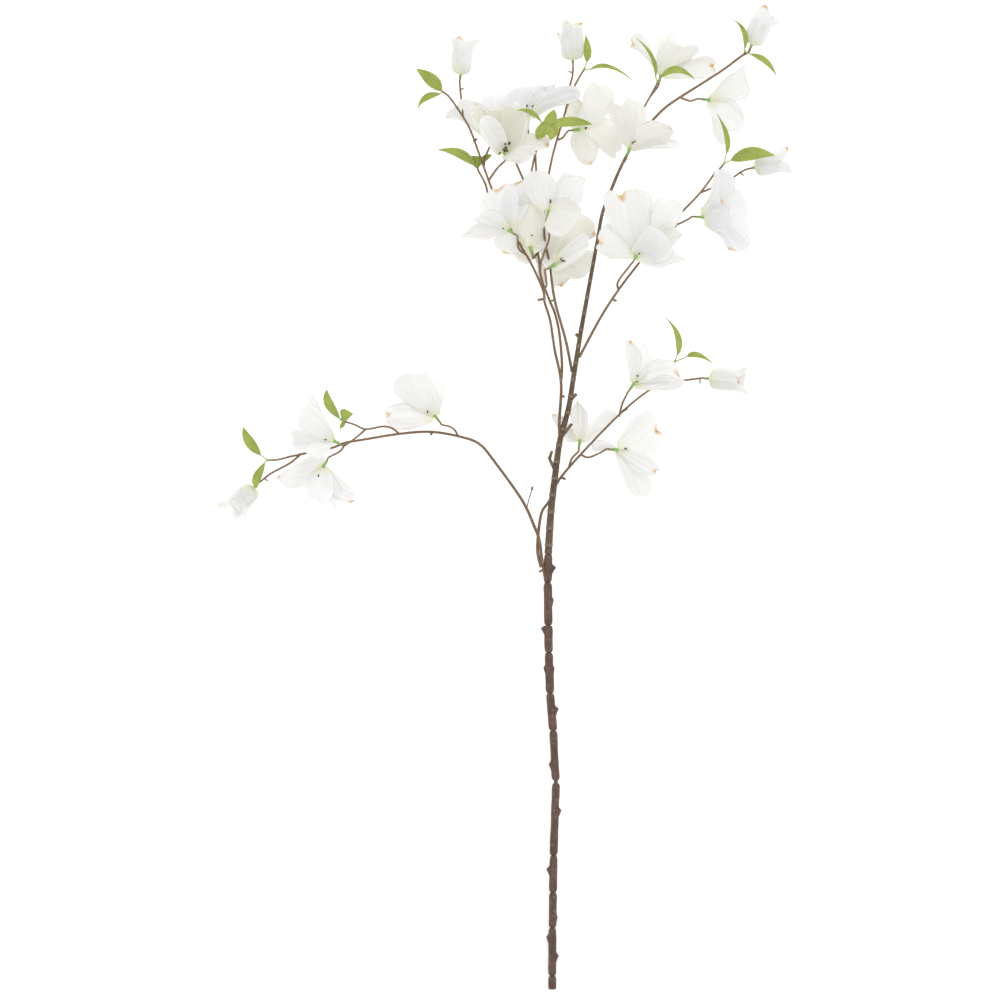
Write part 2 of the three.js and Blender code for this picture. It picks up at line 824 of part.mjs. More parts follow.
function addSideStems() {
  const trunkSkin = coreBody(SLEEVES.at(-2).radius + SEAT, 400, TRUNK_END);
  const leftArch = [
    leftArchBody(),
    stub([-9, 464, 32], [-14, 461, 34], 1.2),
    stub([-132, 615, 41], [-133, 612, 44], 2),
    twig([[-28, 531, 36], [-25, 542, 38], [-22, 552, 39]], 0.7, 0.6),
    stub([-22, 551, 39], [-21.5, 555, 39.3]),
    stalk(BLOSSOMS.blossom_01, [-103, 610, 41], [-107, 617, 42], [-113, 621, 42]),
    stalk(BLOSSOMS.blossom_02, [-205, 618, 47], [-214, 610, 49]),
    stalk(BLOSSOMS.blossom_03, [-227, 603, 38], [-233, 594, 38]),
    stalk(
      SPRIGS.leaves_left_stem,
      [-168, 613, 40],
      [-176, 619, 42],
      [-186, 621, 44],
      [-205, 618, 47],
      [-217, 623, 47],
    ),
    stalk(SPRIGS.leaves_left_tip, [-277, 590, 36], [-288, 588, 35], [-299, 585, 34]),
    stalk(BUDS.bud_01, [-277, 590, 36], [-288, 581, 34], [-299, 575, 32], [-310, 569, 29]),
    stub([-317, 564, 27], [-313, 561, 27], 0.9),
  ];
  addStem("left_arching_stem", leftArch, [trunkSkin]);

  const rightLow = [
    stem([...RIGHT_LOW, ...stalkEnd(BUDS.bud_02)], 1.7, 1.1),
    stub([10, 565, 27], [15, 563, 28], 1.3),
    stub([78, 638, 34], [83, 641, 36], 2),
    stub([163, 673, 31], [163, 668, 31], 0.8),
    stalk(BLOSSOMS.blossom_04, [19, 577, 28], [22, 586, 26]),
    stalk(BLOSSOMS.blossom_05, [32, 590, 30], [40, 587, 32], [53, 592, 34]),
    stalk(BLOSSOMS.blossom_06, [74, 632, 34], [77, 645, 39]),
    stalk(SPRIGS.leaves_right_low, [128, 669, 33], [130, 678, 33]),
  ];
  addStem("right_low_stem", rightLow, [leftArchBody(SEAT), leaderBody(SEAT)]);
}

function addCrownStems() {
  const leaderSkin = leaderBody(SEAT);
  const left = [
    crownLeftBody(),
    stub([10, 654, 44], [14, 654, 44], 1.3),
    stub([-10, 761, 51], [-16, 760, 51], 1.3),
    stub([-86, 934, 52], [-83, 937, 54]),
    stalk(BLOSSOMS.blossom_14, [-70, 891, 48], [-60, 905, 52]),
    stalk(BLOSSOMS.blossom_15, [-75, 908, 50], [-73, 918, 46]),
    stalk(BLOSSOMS.blossom_16, [-29, 810, 50], [-37, 817, 54]),
    stalk(BLOSSOMS.blossom_18, [-10, 771, 51], [-6, 777, 53]),
    stalk(SPRIGS.leaves_left_crown, [-55, 857, 47], [-68, 868, 44], [-73, 887, 43]),
    stalk(BUDS.bud_05, [-98, 962, 55], [-100, 982, 53]),
    stub([-101, 991, 51], [-97, 993, 51], 0.9),
  ];
  addStem("crown_stem_left", left, [leaderSkin]);

  const inner = [
    stem(CROWN_INNER, 2, 1.2),
    stalk(SPRIGS.leaves_crown, [-18, 922, 53]),
    stalk(BLOSSOMS.blossom_17, [-13, 793, 44], [-12, 802, 49], [-8, 814, 55], [-3, 830, 58]),
    stalk(BLOSSOMS.blossom_19, [-16, 812, 44]),
    stalk(BLOSSOMS.blossom_20, [-25, 870, 43], [-28, 884, 40], [-37, 905, 37], [-43, 919, 35]),
    stalk(
      BLOSSOMS.blossom_13,
      [-25, 875, 44],
      [-18, 893, 43],
      [-18, 914, 45],
      [-19, 924, 47],
      [-24, 934, 49],
    ),
  ];
  addStem("crown_stem_inner", inner, [crownLeftBody(SEAT)]);

  const middle = [
    stem(CROWN_MIDDLE, 2.1, 1.3),
    stub([3, 760, 47], [-2, 759, 49], 1.2),
    stub([22, 1010, 47], [18, 1012, 47], 0.8),
    stalk(BUDS.bud_06, [18, 991, 46], [22, 1004, 47]),
    stalk(SPRIGS.leaves_top_centre, [17, 974, 46], [20, 986, 47], [24, 994, 49], [29, 1003, 51]),
    stalk(BLOSSOMS.blossom_12, [5, 936, 52], [11, 938, 48]),
  ];
  addStem("crown_stem_middle", middle, [leaderSkin]);

  const right = [
    stem(CROWN_RIGHT, 2, 1.2),
    stub([133, 846, 49], [136, 840, 50], 1.8),
    stub([66, 761, 44], [71, 759, 45], 1.5),
    stub([207, 900, 43], [211, 897, 43], 0.9),
    stalk(SPRIGS.leaves_right_stem, [178, 898, 46]),
    stalk(BUDS.bud_03, [163, 878, 48], [175, 883, 41], [187, 889, 36], [199, 895, 38], [208, 901, 43]),
    stalk(BLOSSOMS.blossom_08, [128, 840, 48], [140, 844, 50], [150, 849, 52]),
    stalk(BLOSSOMS.blossom_07, [73, 772, 45], [73, 781, 50]),
  ];
  addStem("crown_stem_right", right, [leaderSkin]);
}

addTrunk();
addLeader();
addSideStems();
addCrownStems();
for (const [name, blossom] of Object.entries(BLOSSOMS)) {
  piece(name, blossomBody(blossom), MATERIALS.petal);
}
for (const [name, bud] of Object.entries(BUDS)) piece(name, budBody(bud), MATERIALS.petal);
for (const [name, sprig] of Object.entries(SPRIGS)) piece(name, sprigBody(sprig), MATERIALS.leaf);

export default branch;
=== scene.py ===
# %% [markdown]
# # Dogwood flower branch
# This is a made spray: a lower stem of moulded bark sleeves on a thin core, side stems with
# thin stalks, twenty open blossoms, six tulip-shaped buds and ten sprigs of leaves. The packed
# model gives each piece a plain solid at its real size and place. The cells below build a finer
# piece round each of those solids, in the same frame, and finish it.

# %% Load the frame
import math

import bpy
import numpy as np
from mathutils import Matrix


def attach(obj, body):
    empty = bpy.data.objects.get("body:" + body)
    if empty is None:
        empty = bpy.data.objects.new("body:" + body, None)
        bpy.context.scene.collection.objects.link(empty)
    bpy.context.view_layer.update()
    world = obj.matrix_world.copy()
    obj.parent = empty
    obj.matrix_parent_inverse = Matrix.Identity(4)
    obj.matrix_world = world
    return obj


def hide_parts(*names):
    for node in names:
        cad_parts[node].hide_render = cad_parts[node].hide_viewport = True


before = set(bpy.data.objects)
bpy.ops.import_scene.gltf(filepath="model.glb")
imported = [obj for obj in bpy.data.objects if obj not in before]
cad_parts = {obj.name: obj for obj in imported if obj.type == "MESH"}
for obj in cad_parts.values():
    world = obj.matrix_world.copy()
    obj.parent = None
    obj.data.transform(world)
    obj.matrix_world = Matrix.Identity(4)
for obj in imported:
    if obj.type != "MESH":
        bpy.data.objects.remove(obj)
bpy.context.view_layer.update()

print("nodes in the frame:", len(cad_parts))

# %% [markdown]
# ## Units and places
# The tables further down give places in millimetres from the cut end of the stem: X across the
# branch, Y along it and Z up from the surface. Blender works in metres round the middle of the
# branch, so one small function turns the first into the second. Doing it in one place keeps
# every table in the units that a maker would measure.

# %% Places
MM = 0.001
CUT_END = np.array([51.0, -542.0, 0.0])  # the cut end in the frame, in millimetres
RIPPLE_WAVES = 7  # straight waves that cross in one ripple
RIPPLE_REACH = 3.2  # what their sum is divided by, so that it seldom passes 1


def place(points):
    """Millimetres from the cut end, as metres in the frame."""
    return (np.asarray(points, float) + CUT_END) * MM


def unit(vectors):
    """Vectors at length 1."""
    vectors = np.asarray(vectors, float)
    return vectors / np.maximum(np.linalg.norm(vectors, axis=-1, keepdims=True), 1e-12)


def ease(values, low, high):
    """0 up to low, 1 from high on, and a smooth rise between."""
    share = np.clip((np.asarray(values, float) - low) / (high - low), 0, 1)
    return share * share * (3 - 2 * share)


def ripple(points, size, seed):
    """Smooth uneven waves from about -1 to 1, with crests roughly a size apart."""
    random = np.random.RandomState(seed)
    total = np.zeros(points.shape[:-1])
    for _ in range(RIPPLE_WAVES):
        direction = unit(random.normal(size=3)) * random.uniform(0.6, 1.5)
        total += np.sin(points @ direction * (2 * math.pi / size) + random.uniform(0, 2 * math.pi))
    return total / RIPPLE_REACH


print("cut end in the frame:", place([0, 0, 0]).round(4))

# %% [markdown]
# ## Camera, light and floor
# A flat-lying spray shows best from straight above, where no stem hides behind another for
# long. A long lens far away keeps stems near the edges of the view upright. White cloth on a
# white table needs soft light from everywhere and one broad lamp, so that each petal still has
# a light and a dark side. The floor glows a little, as a light table does, which fades the
# contact shadows.

# %% Camera
CAMERA_HEIGHT = 12.0
CLIP_END = 200.0  # past the far corners of the floor
VIEW_WIDTH = 1.1  # how much the view spans across, at the height of the blossoms
BLOSSOM_HEIGHT = 0.045
VIEW_MIDDLE = (-0.0062, -0.0019)
SENSOR = 36.0


def add_object(name, data):
    """A new object, linked to the scene."""
    made = bpy.data.objects.new(name, data)
    bpy.context.scene.collection.objects.link(made)
    return made


camera_data = bpy.data.cameras.new("camera")
camera_data.sensor_width = SENSOR
camera_data.lens = SENSOR * (CAMERA_HEIGHT - BLOSSOM_HEIGHT) / VIEW_WIDTH
camera_data.clip_end = CLIP_END
camera = add_object("camera", camera_data)
camera.location = (*VIEW_MIDDLE, CAMERA_HEIGHT)
bpy.context.scene.camera = camera
bpy.context.scene.view_settings.view_transform = "Standard"
print("lens:", round(camera_data.lens, 1), "mm")

# %% Light
SKY_COLOUR = (1, 0.98, 0.94, 1)
SKY_STRENGTH = 0.79
LAMPS = {
    # strength, width in degrees, lean from straight above, side that it stands at, colour
    "key_lamp": (0.6, 22, 42, 155, (0.9, 0.95, 1)),
    "fill_lamp": (0.15, 60, 50, -40, (0.95, 0.97, 1)),
}
world = bpy.data.worlds.new("studio")
world.use_nodes = True
sky = world.node_tree.nodes["Background"].inputs
sky["Color"].default_value = SKY_COLOUR
sky["Strength"].default_value = SKY_STRENGTH
bpy.context.scene.world = world
for name, (strength, width, lean, side, colour) in LAMPS.items():
    lamp_data = bpy.data.lights.new(name, "SUN")
    lamp_data.energy = strength
    lamp_data.angle = math.radians(width)
    lamp_data.color = colour
    add_object(name, lamp_data).rotation_euler = (math.radians(lean), 0, math.radians(side))
print("lamps:", ", ".join(LAMPS))

# %% Floor
FLOOR_HALF = 30.0
FLOOR_LOOK = {
    "Base Color": (0.86, 0.86, 0.86, 1),
    "Roughness": 0.9,
    "Emission Color": (1, 1, 1, 1),
    "Emission Strength": 0.45,
}


def new_material(name, constants):
    """A material, its node tree and its shader, with some of the shader's sockets set."""
    material = bpy.data.materials.new(name)
    material.use_nodes = True
    shader = material.node_tree.nodes["Principled BSDF"]
    for socket_name, value in constants.items():
        shader.inputs[socket_name].default_value = value
    return material, material.node_tree, shader


floor_mesh = bpy.data.meshes.new("floor")
corners = [(x * FLOOR_HALF, y * FLOOR_HALF, 0) for x, y in ((-1, -1), (1, -1), (1, 1), (-1, 1))]
floor_mesh.from_pydata(corners, [], [(0, 1, 2, 3)])
floor_mesh.materials.append(new_material("pale_floor", FLOOR_LOOK)[0])
add_object("floor", floor_mesh)
print("floor:", 2 * FLOOR_HALF, "m across")

# %% [markdown]
# ## Small helpers for node trees
# Materials and Geometry Nodes trees are both graphs of nodes. A few helpers keep the code that
# builds them short: one adds a node and fills its sockets from values or from other sockets,
# some do sums, one lays colours over each other, and one gives the shader its colour and relief.

# %% Node helpers


def add_node(tree, kind, inputs=None, **properties):
    """A node with its properties set and its inputs filled, from values or from sockets."""
    node = tree.nodes.new(kind)
    for name, value in properties.items():
        setattr(node, name, value)
    for name, value in (inputs or {}).items():
        if isinstance(value, bpy.types.NodeSocket):
            tree.links.new(value, node.inputs[name])
        else:
            node.inputs[name].default_value = value
    return node


def add_inputs(tree, rows):
    """Named inputs of a group or a tree, each with the value that it rests at."""
    sockets = {}
    for name, kind, value in rows:
        socket = tree.interface.new_socket(name=name, in_out="INPUT", socket_type="NodeSocket" + kind)
        if value is not None:
            socket.default_value = value
        sockets[name] = socket
    return sockets


print("helpers that add nodes and sockets are ready")

# %% Sums, colours and marks


def sum_of(tree, operation, *values, clamp=False):
    """The result of one Math node."""
    filled = dict(enumerate(values))
    return add_node(tree, "ShaderNodeMath", filled, operation=operation, use_clamp=clamp).outputs[0]


def times(tree, first, second, clamp=False):
    """One value times another."""
    return sum_of(tree, "MULTIPLY", first, second, clamp=clamp)


def scaled(tree, value, factor, offset, clamp=False):
    """A value times a factor, with an offset added."""
    return sum_of(tree, "MULTIPLY_ADD", value, factor, offset, clamp=clamp)


def span(tree, value, low, high, at_low=0.0, at_high=1.0):
    """A value stretched from one range to another, held at its ends."""
    sockets = {"Value": value, "From Min": low, "From Max": high, "To Min": at_low, "To Max": at_high}
    return add_node(tree, "ShaderNodeMapRange", sockets, clamp=True).outputs[0]


def layers(tree, colour, *over):
    """A colour with others laid over it in turn, each by its own share."""
    for share, top in over:
        sockets = {0: share, 6: colour, 7: top}
        colour = add_node(tree, "ShaderNodeMix", sockets, data_type="RGBA").outputs[2]
    return colour


def dress(tree, shader, colour, height=None, strength=0.5, distance=0.0002):
    """Gives a shader its colour, and relief from a height if there is one."""
    tree.links.new(colour, shader.inputs["Base Color"])
    if height is not None:
        sockets = {"Height": height, "Strength": strength, "Distance": distance}
        bump = add_node(tree, "ShaderNodeBump", sockets)
        tree.links.new(bump.outputs[0], shader.inputs["Normal"])


def mark(tree, name, output="Fac"):
    """A value that the mesh carries at each point."""
    return add_node(tree, "ShaderNodeAttribute", attribute_name=name).outputs[output]


def across_and_along(tree):
    """How far across and along its own sheet a point lies, from the sheet's UV map."""
    uv = add_node(tree, "ShaderNodeUVMap", uv_map="UVMap").outputs[0]
    split = add_node(tree, "ShaderNodeSeparateXYZ", {0: uv}).outputs
    return split["X"], split["Y"]


print("helpers for sums, colours and marks are ready")

# %% [markdown]
# ## A shared grain
# Bark, cloth and leaf all have colour that wanders a little from place to place. The effect is
# one node group that each material places with its own size and contrast: a noise texture read
# at a coordinate, stretched into a mask from 0 to 1. A larger scale gives a finer grain. Where
# nothing else is asked for, the coordinate is the point's place on the object.

# %% Grain group
grain = bpy.data.node_groups.new("grain", "ShaderNodeTree")
add_inputs(grain, (
    ("Vector", "Vector", None),
    ("Scale", "Float", 10.0),
    ("Detail", "Float", 4.0),
    ("Low", "Float", 0.35),
    ("High", "Float", 0.65),
))
grain.interface.new_socket(name="Mask", in_out="OUTPUT", socket_type="NodeSocketFloat")
grain_in = grain.nodes.new("NodeGroupInput").outputs
grain_sockets = {name: grain_in[name] for name in ("Vector", "Scale", "Detail")}
grain_noise = add_node(grain, "ShaderNodeTexNoise", grain_sockets)
grain_mask = span(grain, grain_noise.outputs["Fac"], grain_in["Low"], grain_in["High"])
grain.links.new(grain_mask, grain.nodes.new("NodeGroupOutput").inputs["Mask"])


def grain_of(tree, scale, low=0.35, high=0.65, detail=4.0, vector=None):
    """The mask of one placed grain group."""
    if vector is None:
        vector = add_node(tree, "ShaderNodeTexCoord").outputs["Object"]
    sockets = {"Vector": vector, "Scale": scale, "Low": low, "High": high, "Detail": detail}
    return add_node(tree, "ShaderNodeGroup", sockets, node_tree=grain).outputs["Mask"]


print("shared groups:", [group.name for group in bpy.data.node_groups])

# %% [markdown]
# ## Petal cloth
# The petals are of thin white cloth, pressed with fine veins that fan out from the foot, tinted
# yellow-green where they leave the calyx and brushed with tan at the notch of the tip. The
# stripes of the veins are darkened partly as painted shade of the pleats. The veins and tints
# follow each petal, so they read its own UV map: across and along. What differs from petal to
# petal, the stain and the tone of the white, is a value on the mesh: cream is the cloth's own
# tone, the cool white end is painted light and the olive end is painted shade. The distance
# from the rim in millimetres is a value on the mesh too. That one paints shade as a thin grey
# line at the rim and a highlight as a light band inside it, because white cloth over white cloth
# hardly shows where one petal ends. Light passes through thin cloth: a little subsurface light,
# and painted light in the form of a weak glow of its own colour, keep it bright where it turns
# away from the lamp.

# %% Petal material
WHITE = (0.86, 0.865, 0.88, 1)
CREAM = (0.76, 0.75, 0.68, 1)
# darker stripes: pressed veins, and partly painted shade of the pleats
VEIN_AND_CREASE_SHADE = (0.72, 0.71, 0.66, 1)
# painted shade: the olive of petals that lie in shadow
OLIVE_SHADE = (0.62, 0.59, 0.42, 1)
# painted light: the cool white of petals in full light
COOL_LIGHT = (0.70, 0.71, 0.75, 1)
FOOT_GREEN = (0.77, 0.78, 0.60, 1)
TAN = (0.72, 0.50, 0.30, 1)
BROWN = (0.34, 0.17, 0.09, 1)
# painted highlight: the light band just inside a petal's rim; painted shade: the grey line on the rim
# itself
RIM_HIGHLIGHT = (0.90, 0.90, 0.90, 1)
EDGE_SHADE = (0.62, 0.62, 0.60, 1)
PETAL_LOOK = {
    "Roughness": 0.72,
    "Subsurface Weight": 0.3,
    "Subsurface Radius": (1, 0.95, 0.85),
    "Subsurface Scale": 0.004,
    "Specular IOR Level": 0.25,
    # painted light: a faint glow of the cloth's own colour, standing in for light through it
    "Emission Strength": 0.1,
}
FINE_CREASES = (130, 3.5)  # radians of a wave across the petal, and how far the wander bends it
BROAD_CREASES = (34, 5.0)

petal_material, tree, shader = new_material("petal_cloth", PETAL_LOOK)
across, along = across_and_along(tree)
wander = grain_of(tree, 45, 0.3, 0.7)
blotch = grain_of(tree, 26, 0.4, 0.75)
speckle = grain_of(tree, 160, 0.3, 0.6)
weave = grain_of(tree, 1400, 0.3, 0.7, 1.0)
inside = mark(tree, "inside")
warmth = mark(tree, "warmth")


def creases(count, drift):
    """Stripes across the petal that drift with the wander of the cloth."""
    lines = scaled(tree, across, count, times(tree, wander, drift))
    return sum_of(tree, "POWER", scaled(tree, sum_of(tree, "SINE", lines), 0.5, 0.5), 2)


# the vein stripes, darkened partly as painted shade of the pleats
vein = scaled(tree, creases(*FINE_CREASES), 0.3, times(tree, creases(*BROAD_CREASES), 0.6))
vein = times(tree, vein, span(tree, along, 0.95, 0.5))
tint = span(tree, scaled(tree, wander, -0.1, along), mark(tree, "green"), 0.0)
stain = times(tree, mark(tree, "stain"), scaled(tree, speckle, 0.5, 0.5))
colour = layers(
    tree,
    WHITE,
    (scaled(tree, blotch, 0.35, warmth, clamp=True), CREAM),
    # the tone mark: cream is the cloth's own tone, olive is painted shade and cool white is painted light
    (span(tree, warmth, 0.9, 1.7), OLIVE_SHADE),
    (span(tree, warmth, 0.0, -1.0), COOL_LIGHT),
    (times(tree, vein, 0.4), VEIN_AND_CREASE_SHADE),
    # painted highlight inside the rim, then painted shade along the rim
    (times(tree, span(tree, inside, 3.4, 1.8), 0.5), RIM_HIGHLIGHT),
    (times(tree, span(tree, inside, 1.5, 0.4), 0.5), EDGE_SHADE),
    (sum_of(tree, "POWER", tint, 1.6), FOOT_GREEN),
    (span(tree, stain, 0.05, 0.45), TAN),
    (span(tree, stain, 0.5, 0.95), BROWN),
)
dress(tree, shader, colour, scaled(tree, weave, 0.12, vein), 0.5, 0.00025)
# painted light: the petal glows faintly in its own colour
tree.links.new(colour, shader.inputs["Emission Color"])
print("petal cloth nodes:", len(tree.nodes))

# %% [markdown]
# ## Bark
# Bark runs along its stem, so its streaks need a coordinate that goes round and along the
# tube. Each tube carries two marks for this: the place on a circle round it and the run from
# its start. Together they make a grain without a seam. A third mark, the girth, tells thick
# old wood, which is grey and reddish brown, from thin orange twigs. A fourth marks the rings on
# a stem: above 0 on a ring, which gets a painted highlight in pale wood, and below 0 in the neck
# beside it, which gets painted shade.

# %% Bark material
TWIG_DARK = (0.17, 0.10, 0.055, 1)
TWIG_LIGHT = (0.37, 0.23, 0.135, 1)
TWIG_GIRTH = (0.0011, 0.0022)  # radius in metres of pure twig, and of pure old wood
STREAKS_ROUND = 2.2  # the size of the circle that the streaks are read on
STREAKS_ALONG = 90  # how far the streaks are read along for each metre
BARKS = {
    # dark, light, pale for rubbed spots and for the painted highlight on rings, depth of the streaks in
    # metres
    "trunk_bark": ((0.07, 0.037, 0.029, 1), (0.168, 0.098, 0.073, 1), (0.36, 0.28, 0.24, 1), 0.0005),
    "stem_bark": ((0.075, 0.049, 0.029, 1), (0.185, 0.13, 0.077, 1), (0.38, 0.32, 0.24, 1), 0.0003),
    "core_wood": ((0.07, 0.045, 0.03, 1), (0.15, 0.1, 0.07, 1), (0.25, 0.2, 0.15, 1), 0.0002),
}


def bark_material(name, dark, light, pale_wear_and_highlight, streak_depth):
    """Bark between a dark and a light brown, with pale rubbed spots, a painted highlight on each ring and
    painted shade in the neck beside it.
    """
    material, tree, shader = new_material(name, {})
    ring = mark(tree, "ring")
    run = add_node(tree, "ShaderNodeCombineXYZ", {2: times(tree, mark(tree, "run"), STREAKS_ALONG)})
    hoop = {0: mark(tree, "hoop", "Vector"), 1: (STREAKS_ROUND,) * 3}
    wrapped = add_node(tree, "ShaderNodeVectorMath", hoop, operation="MULTIPLY").outputs[0]
    vector = add_node(tree, "ShaderNodeVectorMath", {0: wrapped, 1: run.outputs[0]}).outputs[0]
    streak = grain_of(tree, 1.0, 0.3, 0.7, 6.0, vector)
    patch = grain_of(tree, 22)
    spots = grain_of(tree, 260, 0.56, 0.75, 3.0)
    old = span(tree, mark(tree, "girth"), *TWIG_GIRTH)
    thin_dark = layers(tree, TWIG_DARK, (old, dark))
    thin_light = layers(tree, TWIG_LIGHT, (old, light))
    colour = layers(
        tree,
        thin_dark,
        (scaled(tree, patch, 0.4, times(tree, streak, 0.6)), thin_light),
        (times(tree, spots, 0.45), pale_wear_and_highlight),
        # painted highlight on the crest of each ring
        (times(tree, ring, 0.5, clamp=True), pale_wear_and_highlight),
        # painted shade in the neck beside each ring
        (times(tree, ring, -1.1, clamp=True), thin_dark),
    )
    dress(tree, shader, colour, scaled(tree, spots, 0.3, streak), 0.7, streak_depth)
    tree.links.new(span(tree, streak, 0, 1, 0.75, 0.5), shader.inputs["Roughness"])
    return material


barks = {name: bark_material(name, *look) for name, look in BARKS.items()}
print("barks:", ", ".join(barks))

# %% [markdown]
# ## Leaf and calyx green
# A leaf blade has a pale midrib and side veins that lean towards the tip. Both follow the
# blade, so they are drawn from its UV map: the distance from the middle for the midrib, and
# slanted stripes for the veins. The same two numbers, how many veins and how far they lean,
# press the veins into the blade's mesh further down. The calyx is a smoother, fresher green
# with no veins.

# %% Green materials
LEAF_VEINS = 9  # side veins on each half of a blade
LEAF_SLANT = 1.3  # how far a side vein climbs to the rim, in spaces between veins
LEAF_DEEP = (0.25, 0.36, 0.05, 1)
LEAF_BRIGHT = (0.44, 0.53, 0.11, 1)
LEAF_FLECK = (0.46, 0.52, 0.12, 1)
LEAF_VEIN = (0.50, 0.58, 0.18, 1)
LEAF_FOOT = (0.33, 0.40, 0.12, 1)
LEAF_LOOK = {"Roughness": 0.55, "Subsurface Weight": 0.1, "Subsurface Scale": 0.002}
CALYX_DEEP = (0.15, 0.33, 0.07, 1)
CALYX_BRIGHT = (0.38, 0.58, 0.18, 1)
CALYX_FLECK = (0.50, 0.60, 0.22, 1)

leaf_material, tree, shader = new_material("leaf_green", LEAF_LOOK)
across, along = across_and_along(tree)
middle = sum_of(tree, "ABSOLUTE", sum_of(tree, "SUBTRACT", across, 0.5))
slant = scaled(tree, along, LEAF_VEINS, times(tree, middle, -2 * LEAF_SLANT))
stripe = sum_of(tree, "ABSOLUTE", sum_of(tree, "SUBTRACT", sum_of(tree, "FRACT", slant), 0.5))
side_vein = times(tree, span(tree, stripe, 0.1, 0.02), 0.6)
veins = sum_of(tree, "MAXIMUM", span(tree, middle, 0.07, 0.015), side_vein)
fleck = grain_of(tree, 420, detail=2.0)
colour = layers(
    tree,
    LEAF_DEEP,
    (grain_of(tree, 55, 0.3, 0.7), LEAF_BRIGHT),
    (times(tree, fleck, 0.25), LEAF_FLECK),
    (times(tree, veins, 0.55), LEAF_VEIN),
    (span(tree, along, 0.2, 0.0), LEAF_FOOT),
)
dress(tree, shader, colour, scaled(tree, fleck, 0.2, sum_of(tree, "SUBTRACT", 1.0, veins)))

calyx_material, tree, shader = new_material("calyx_green", {"Roughness": 0.5})
fleck = grain_of(tree, 300, 0.3, 0.7)
from_stalk = span(tree, across_and_along(tree)[1], 0.1, 0.9)
colour = layers(tree, CALYX_DEEP, (from_stalk, CALYX_BRIGHT), (times(tree, fleck, 0.3), CALYX_FLECK))
dress(tree, shader, colour, fleck, 0.4)
print("greens:", leaf_material.name, "and", calyx_material.name)

# %% [markdown]
# ## Stamens
# A stamen is a pale green thread with a dark brown grain, its anther, at the end. Both are one
# mesh, so one material does both, and a mark on the mesh tells the thread from the anther.

# %% Stamen material
ANTHER_DARK = (0.05, 0.018, 0.012, 1)
ANTHER_LIGHT = (0.14, 0.05, 0.03, 1)
THREAD = (0.62, 0.64, 0.45, 1)

stamen_material, tree, shader = new_material("stamen_brown", {"Roughness": 0.6})
is_thread = span(tree, mark(tree, "thread"), 0, 1)
dress(tree, shader, layers(tree, ANTHER_DARK, (grain_of(tree, 900), ANTHER_LIGHT), (is_thread, THREAD)))
print("stamens:", stamen_material.name)

# %% [markdown]
# ## Shells
# A petal, a leaf and a bud petal are all one thing to a mesh: a thin sheet with two faces and a
# rim. The helpers below close a grid of points into such a sheet, lay a skin over a row of
# rings, and turn skins into one object with its UV map and marks. A skin that comes out inside
# out has a negative volume, and is flipped.

# %% Sheets


def surface_normals(grid):
    """The normal at each point of a grid of points."""
    down = np.gradient(grid, axis=0)
    right = np.gradient(grid, axis=1)
    return unit(np.cross(down, right))


def outward(points, quads):
    """The faces of a skin, flipped if they point inwards."""
    a, b, c, d = (points[quads[:, i]] for i in range(4))
    volume = np.einsum("ij,ij->i", np.cross(b - a, c - a), a).sum()
    volume += np.einsum("ij,ij->i", np.cross(c - a, d - a), a).sum()
    return quads if volume > 0 else quads[:, ::-1]


def sheet_shell(grid, half_thickness, across, along, **marks):
    """A closed thin sheet round a grid of points; across runs from -1 to 1 and along from 0 to 1."""
    rows, columns = grid.shape[:2]
    normals = surface_normals(grid)
    thickness = np.broadcast_to(half_thickness, (rows, columns))[..., None]
    points = np.concatenate([
        (grid + normals * thickness).reshape(-1, 3),
        (grid - normals * thickness).reshape(-1, 3),
    ])
    index = np.arange(rows * columns).reshape(rows, columns)
    face = [index[:-1, :-1], index[1:, :-1], index[1:, 1:], index[:-1, 1:]]
    front = np.stack([corner.ravel() for corner in face], axis=1)
    rim = np.concatenate([index[0, :-1], index[:-1, -1], index[-1, :0:-1], index[:0:-1, 0]])
    following = np.roll(rim, -1)
    count = rows * columns
    wall = np.stack([rim, following, following + count, rim + count], axis=1)
    quads = np.concatenate([front, front[:, ::-1] + count, wall])
    uv = np.stack(np.broadcast_arrays((across + 1) / 2, along), axis=-1)
    shell = {"points": points, "quads": outward(points, quads), "uv": np.tile(uv.reshape(-1, 2), (2, 1))}
    for name, values in marks.items():
        shell[name] = np.tile(np.broadcast_to(values, (rows, columns)).ravel(), 2)
    return shell


print("helpers for sheets are ready")

# %% Rings and turned skins


def turns_of(sides):
    """The angles of the points on a ring."""
    return np.linspace(0, 2 * math.pi, sides, endpoint=False)


def hoop_round(direction, aside, sides):
    """A circle of points at radius 1 round a direction, started from a vector well aside of it."""
    across = unit(np.cross(direction, aside))
    up = np.cross(direction, across)
    turns = turns_of(sides)[:, None]
    return np.cos(turns) * across + np.sin(turns) * up


def rings_shell(rings, uv, joined=False, **marks):
    """A skin over rings of points, either joined into a loop or left open at its end rings."""
    count, sides = rings.shape[:2]
    points = rings.reshape(-1, 3)
    index = np.arange(len(points)).reshape(count, sides)
    beside = np.roll(index, -1, axis=1)
    last = count if joined else count - 1
    face = [index, beside, np.roll(beside, -1, axis=0), np.roll(index, -1, axis=0)]
    quads = np.stack([corner[:last].ravel() for corner in face], axis=1)
    return {"points": points, "quads": outward(points, quads), "uv": uv, **marks}


def lathe_shell(foot, axis, stations, radii, sides=18):
    """A skin turned round an axis, with its end rings drawn in too small to be seen open."""
    direction = unit(axis)
    hoop = hoop_round(direction, [0.31, 0.17, 0.93], sides)
    rings = np.array([np.asarray(foot) + direction * s + hoop * r for s, r in zip(stations, radii)])
    length = np.repeat(np.linspace(0, 1, len(rings)), sides)
    uv = np.stack([np.tile(turns_of(sides) / (2 * math.pi), len(rings)), length], axis=1)
    return rings_shell(rings, uv)


print("helpers for rings are ready")

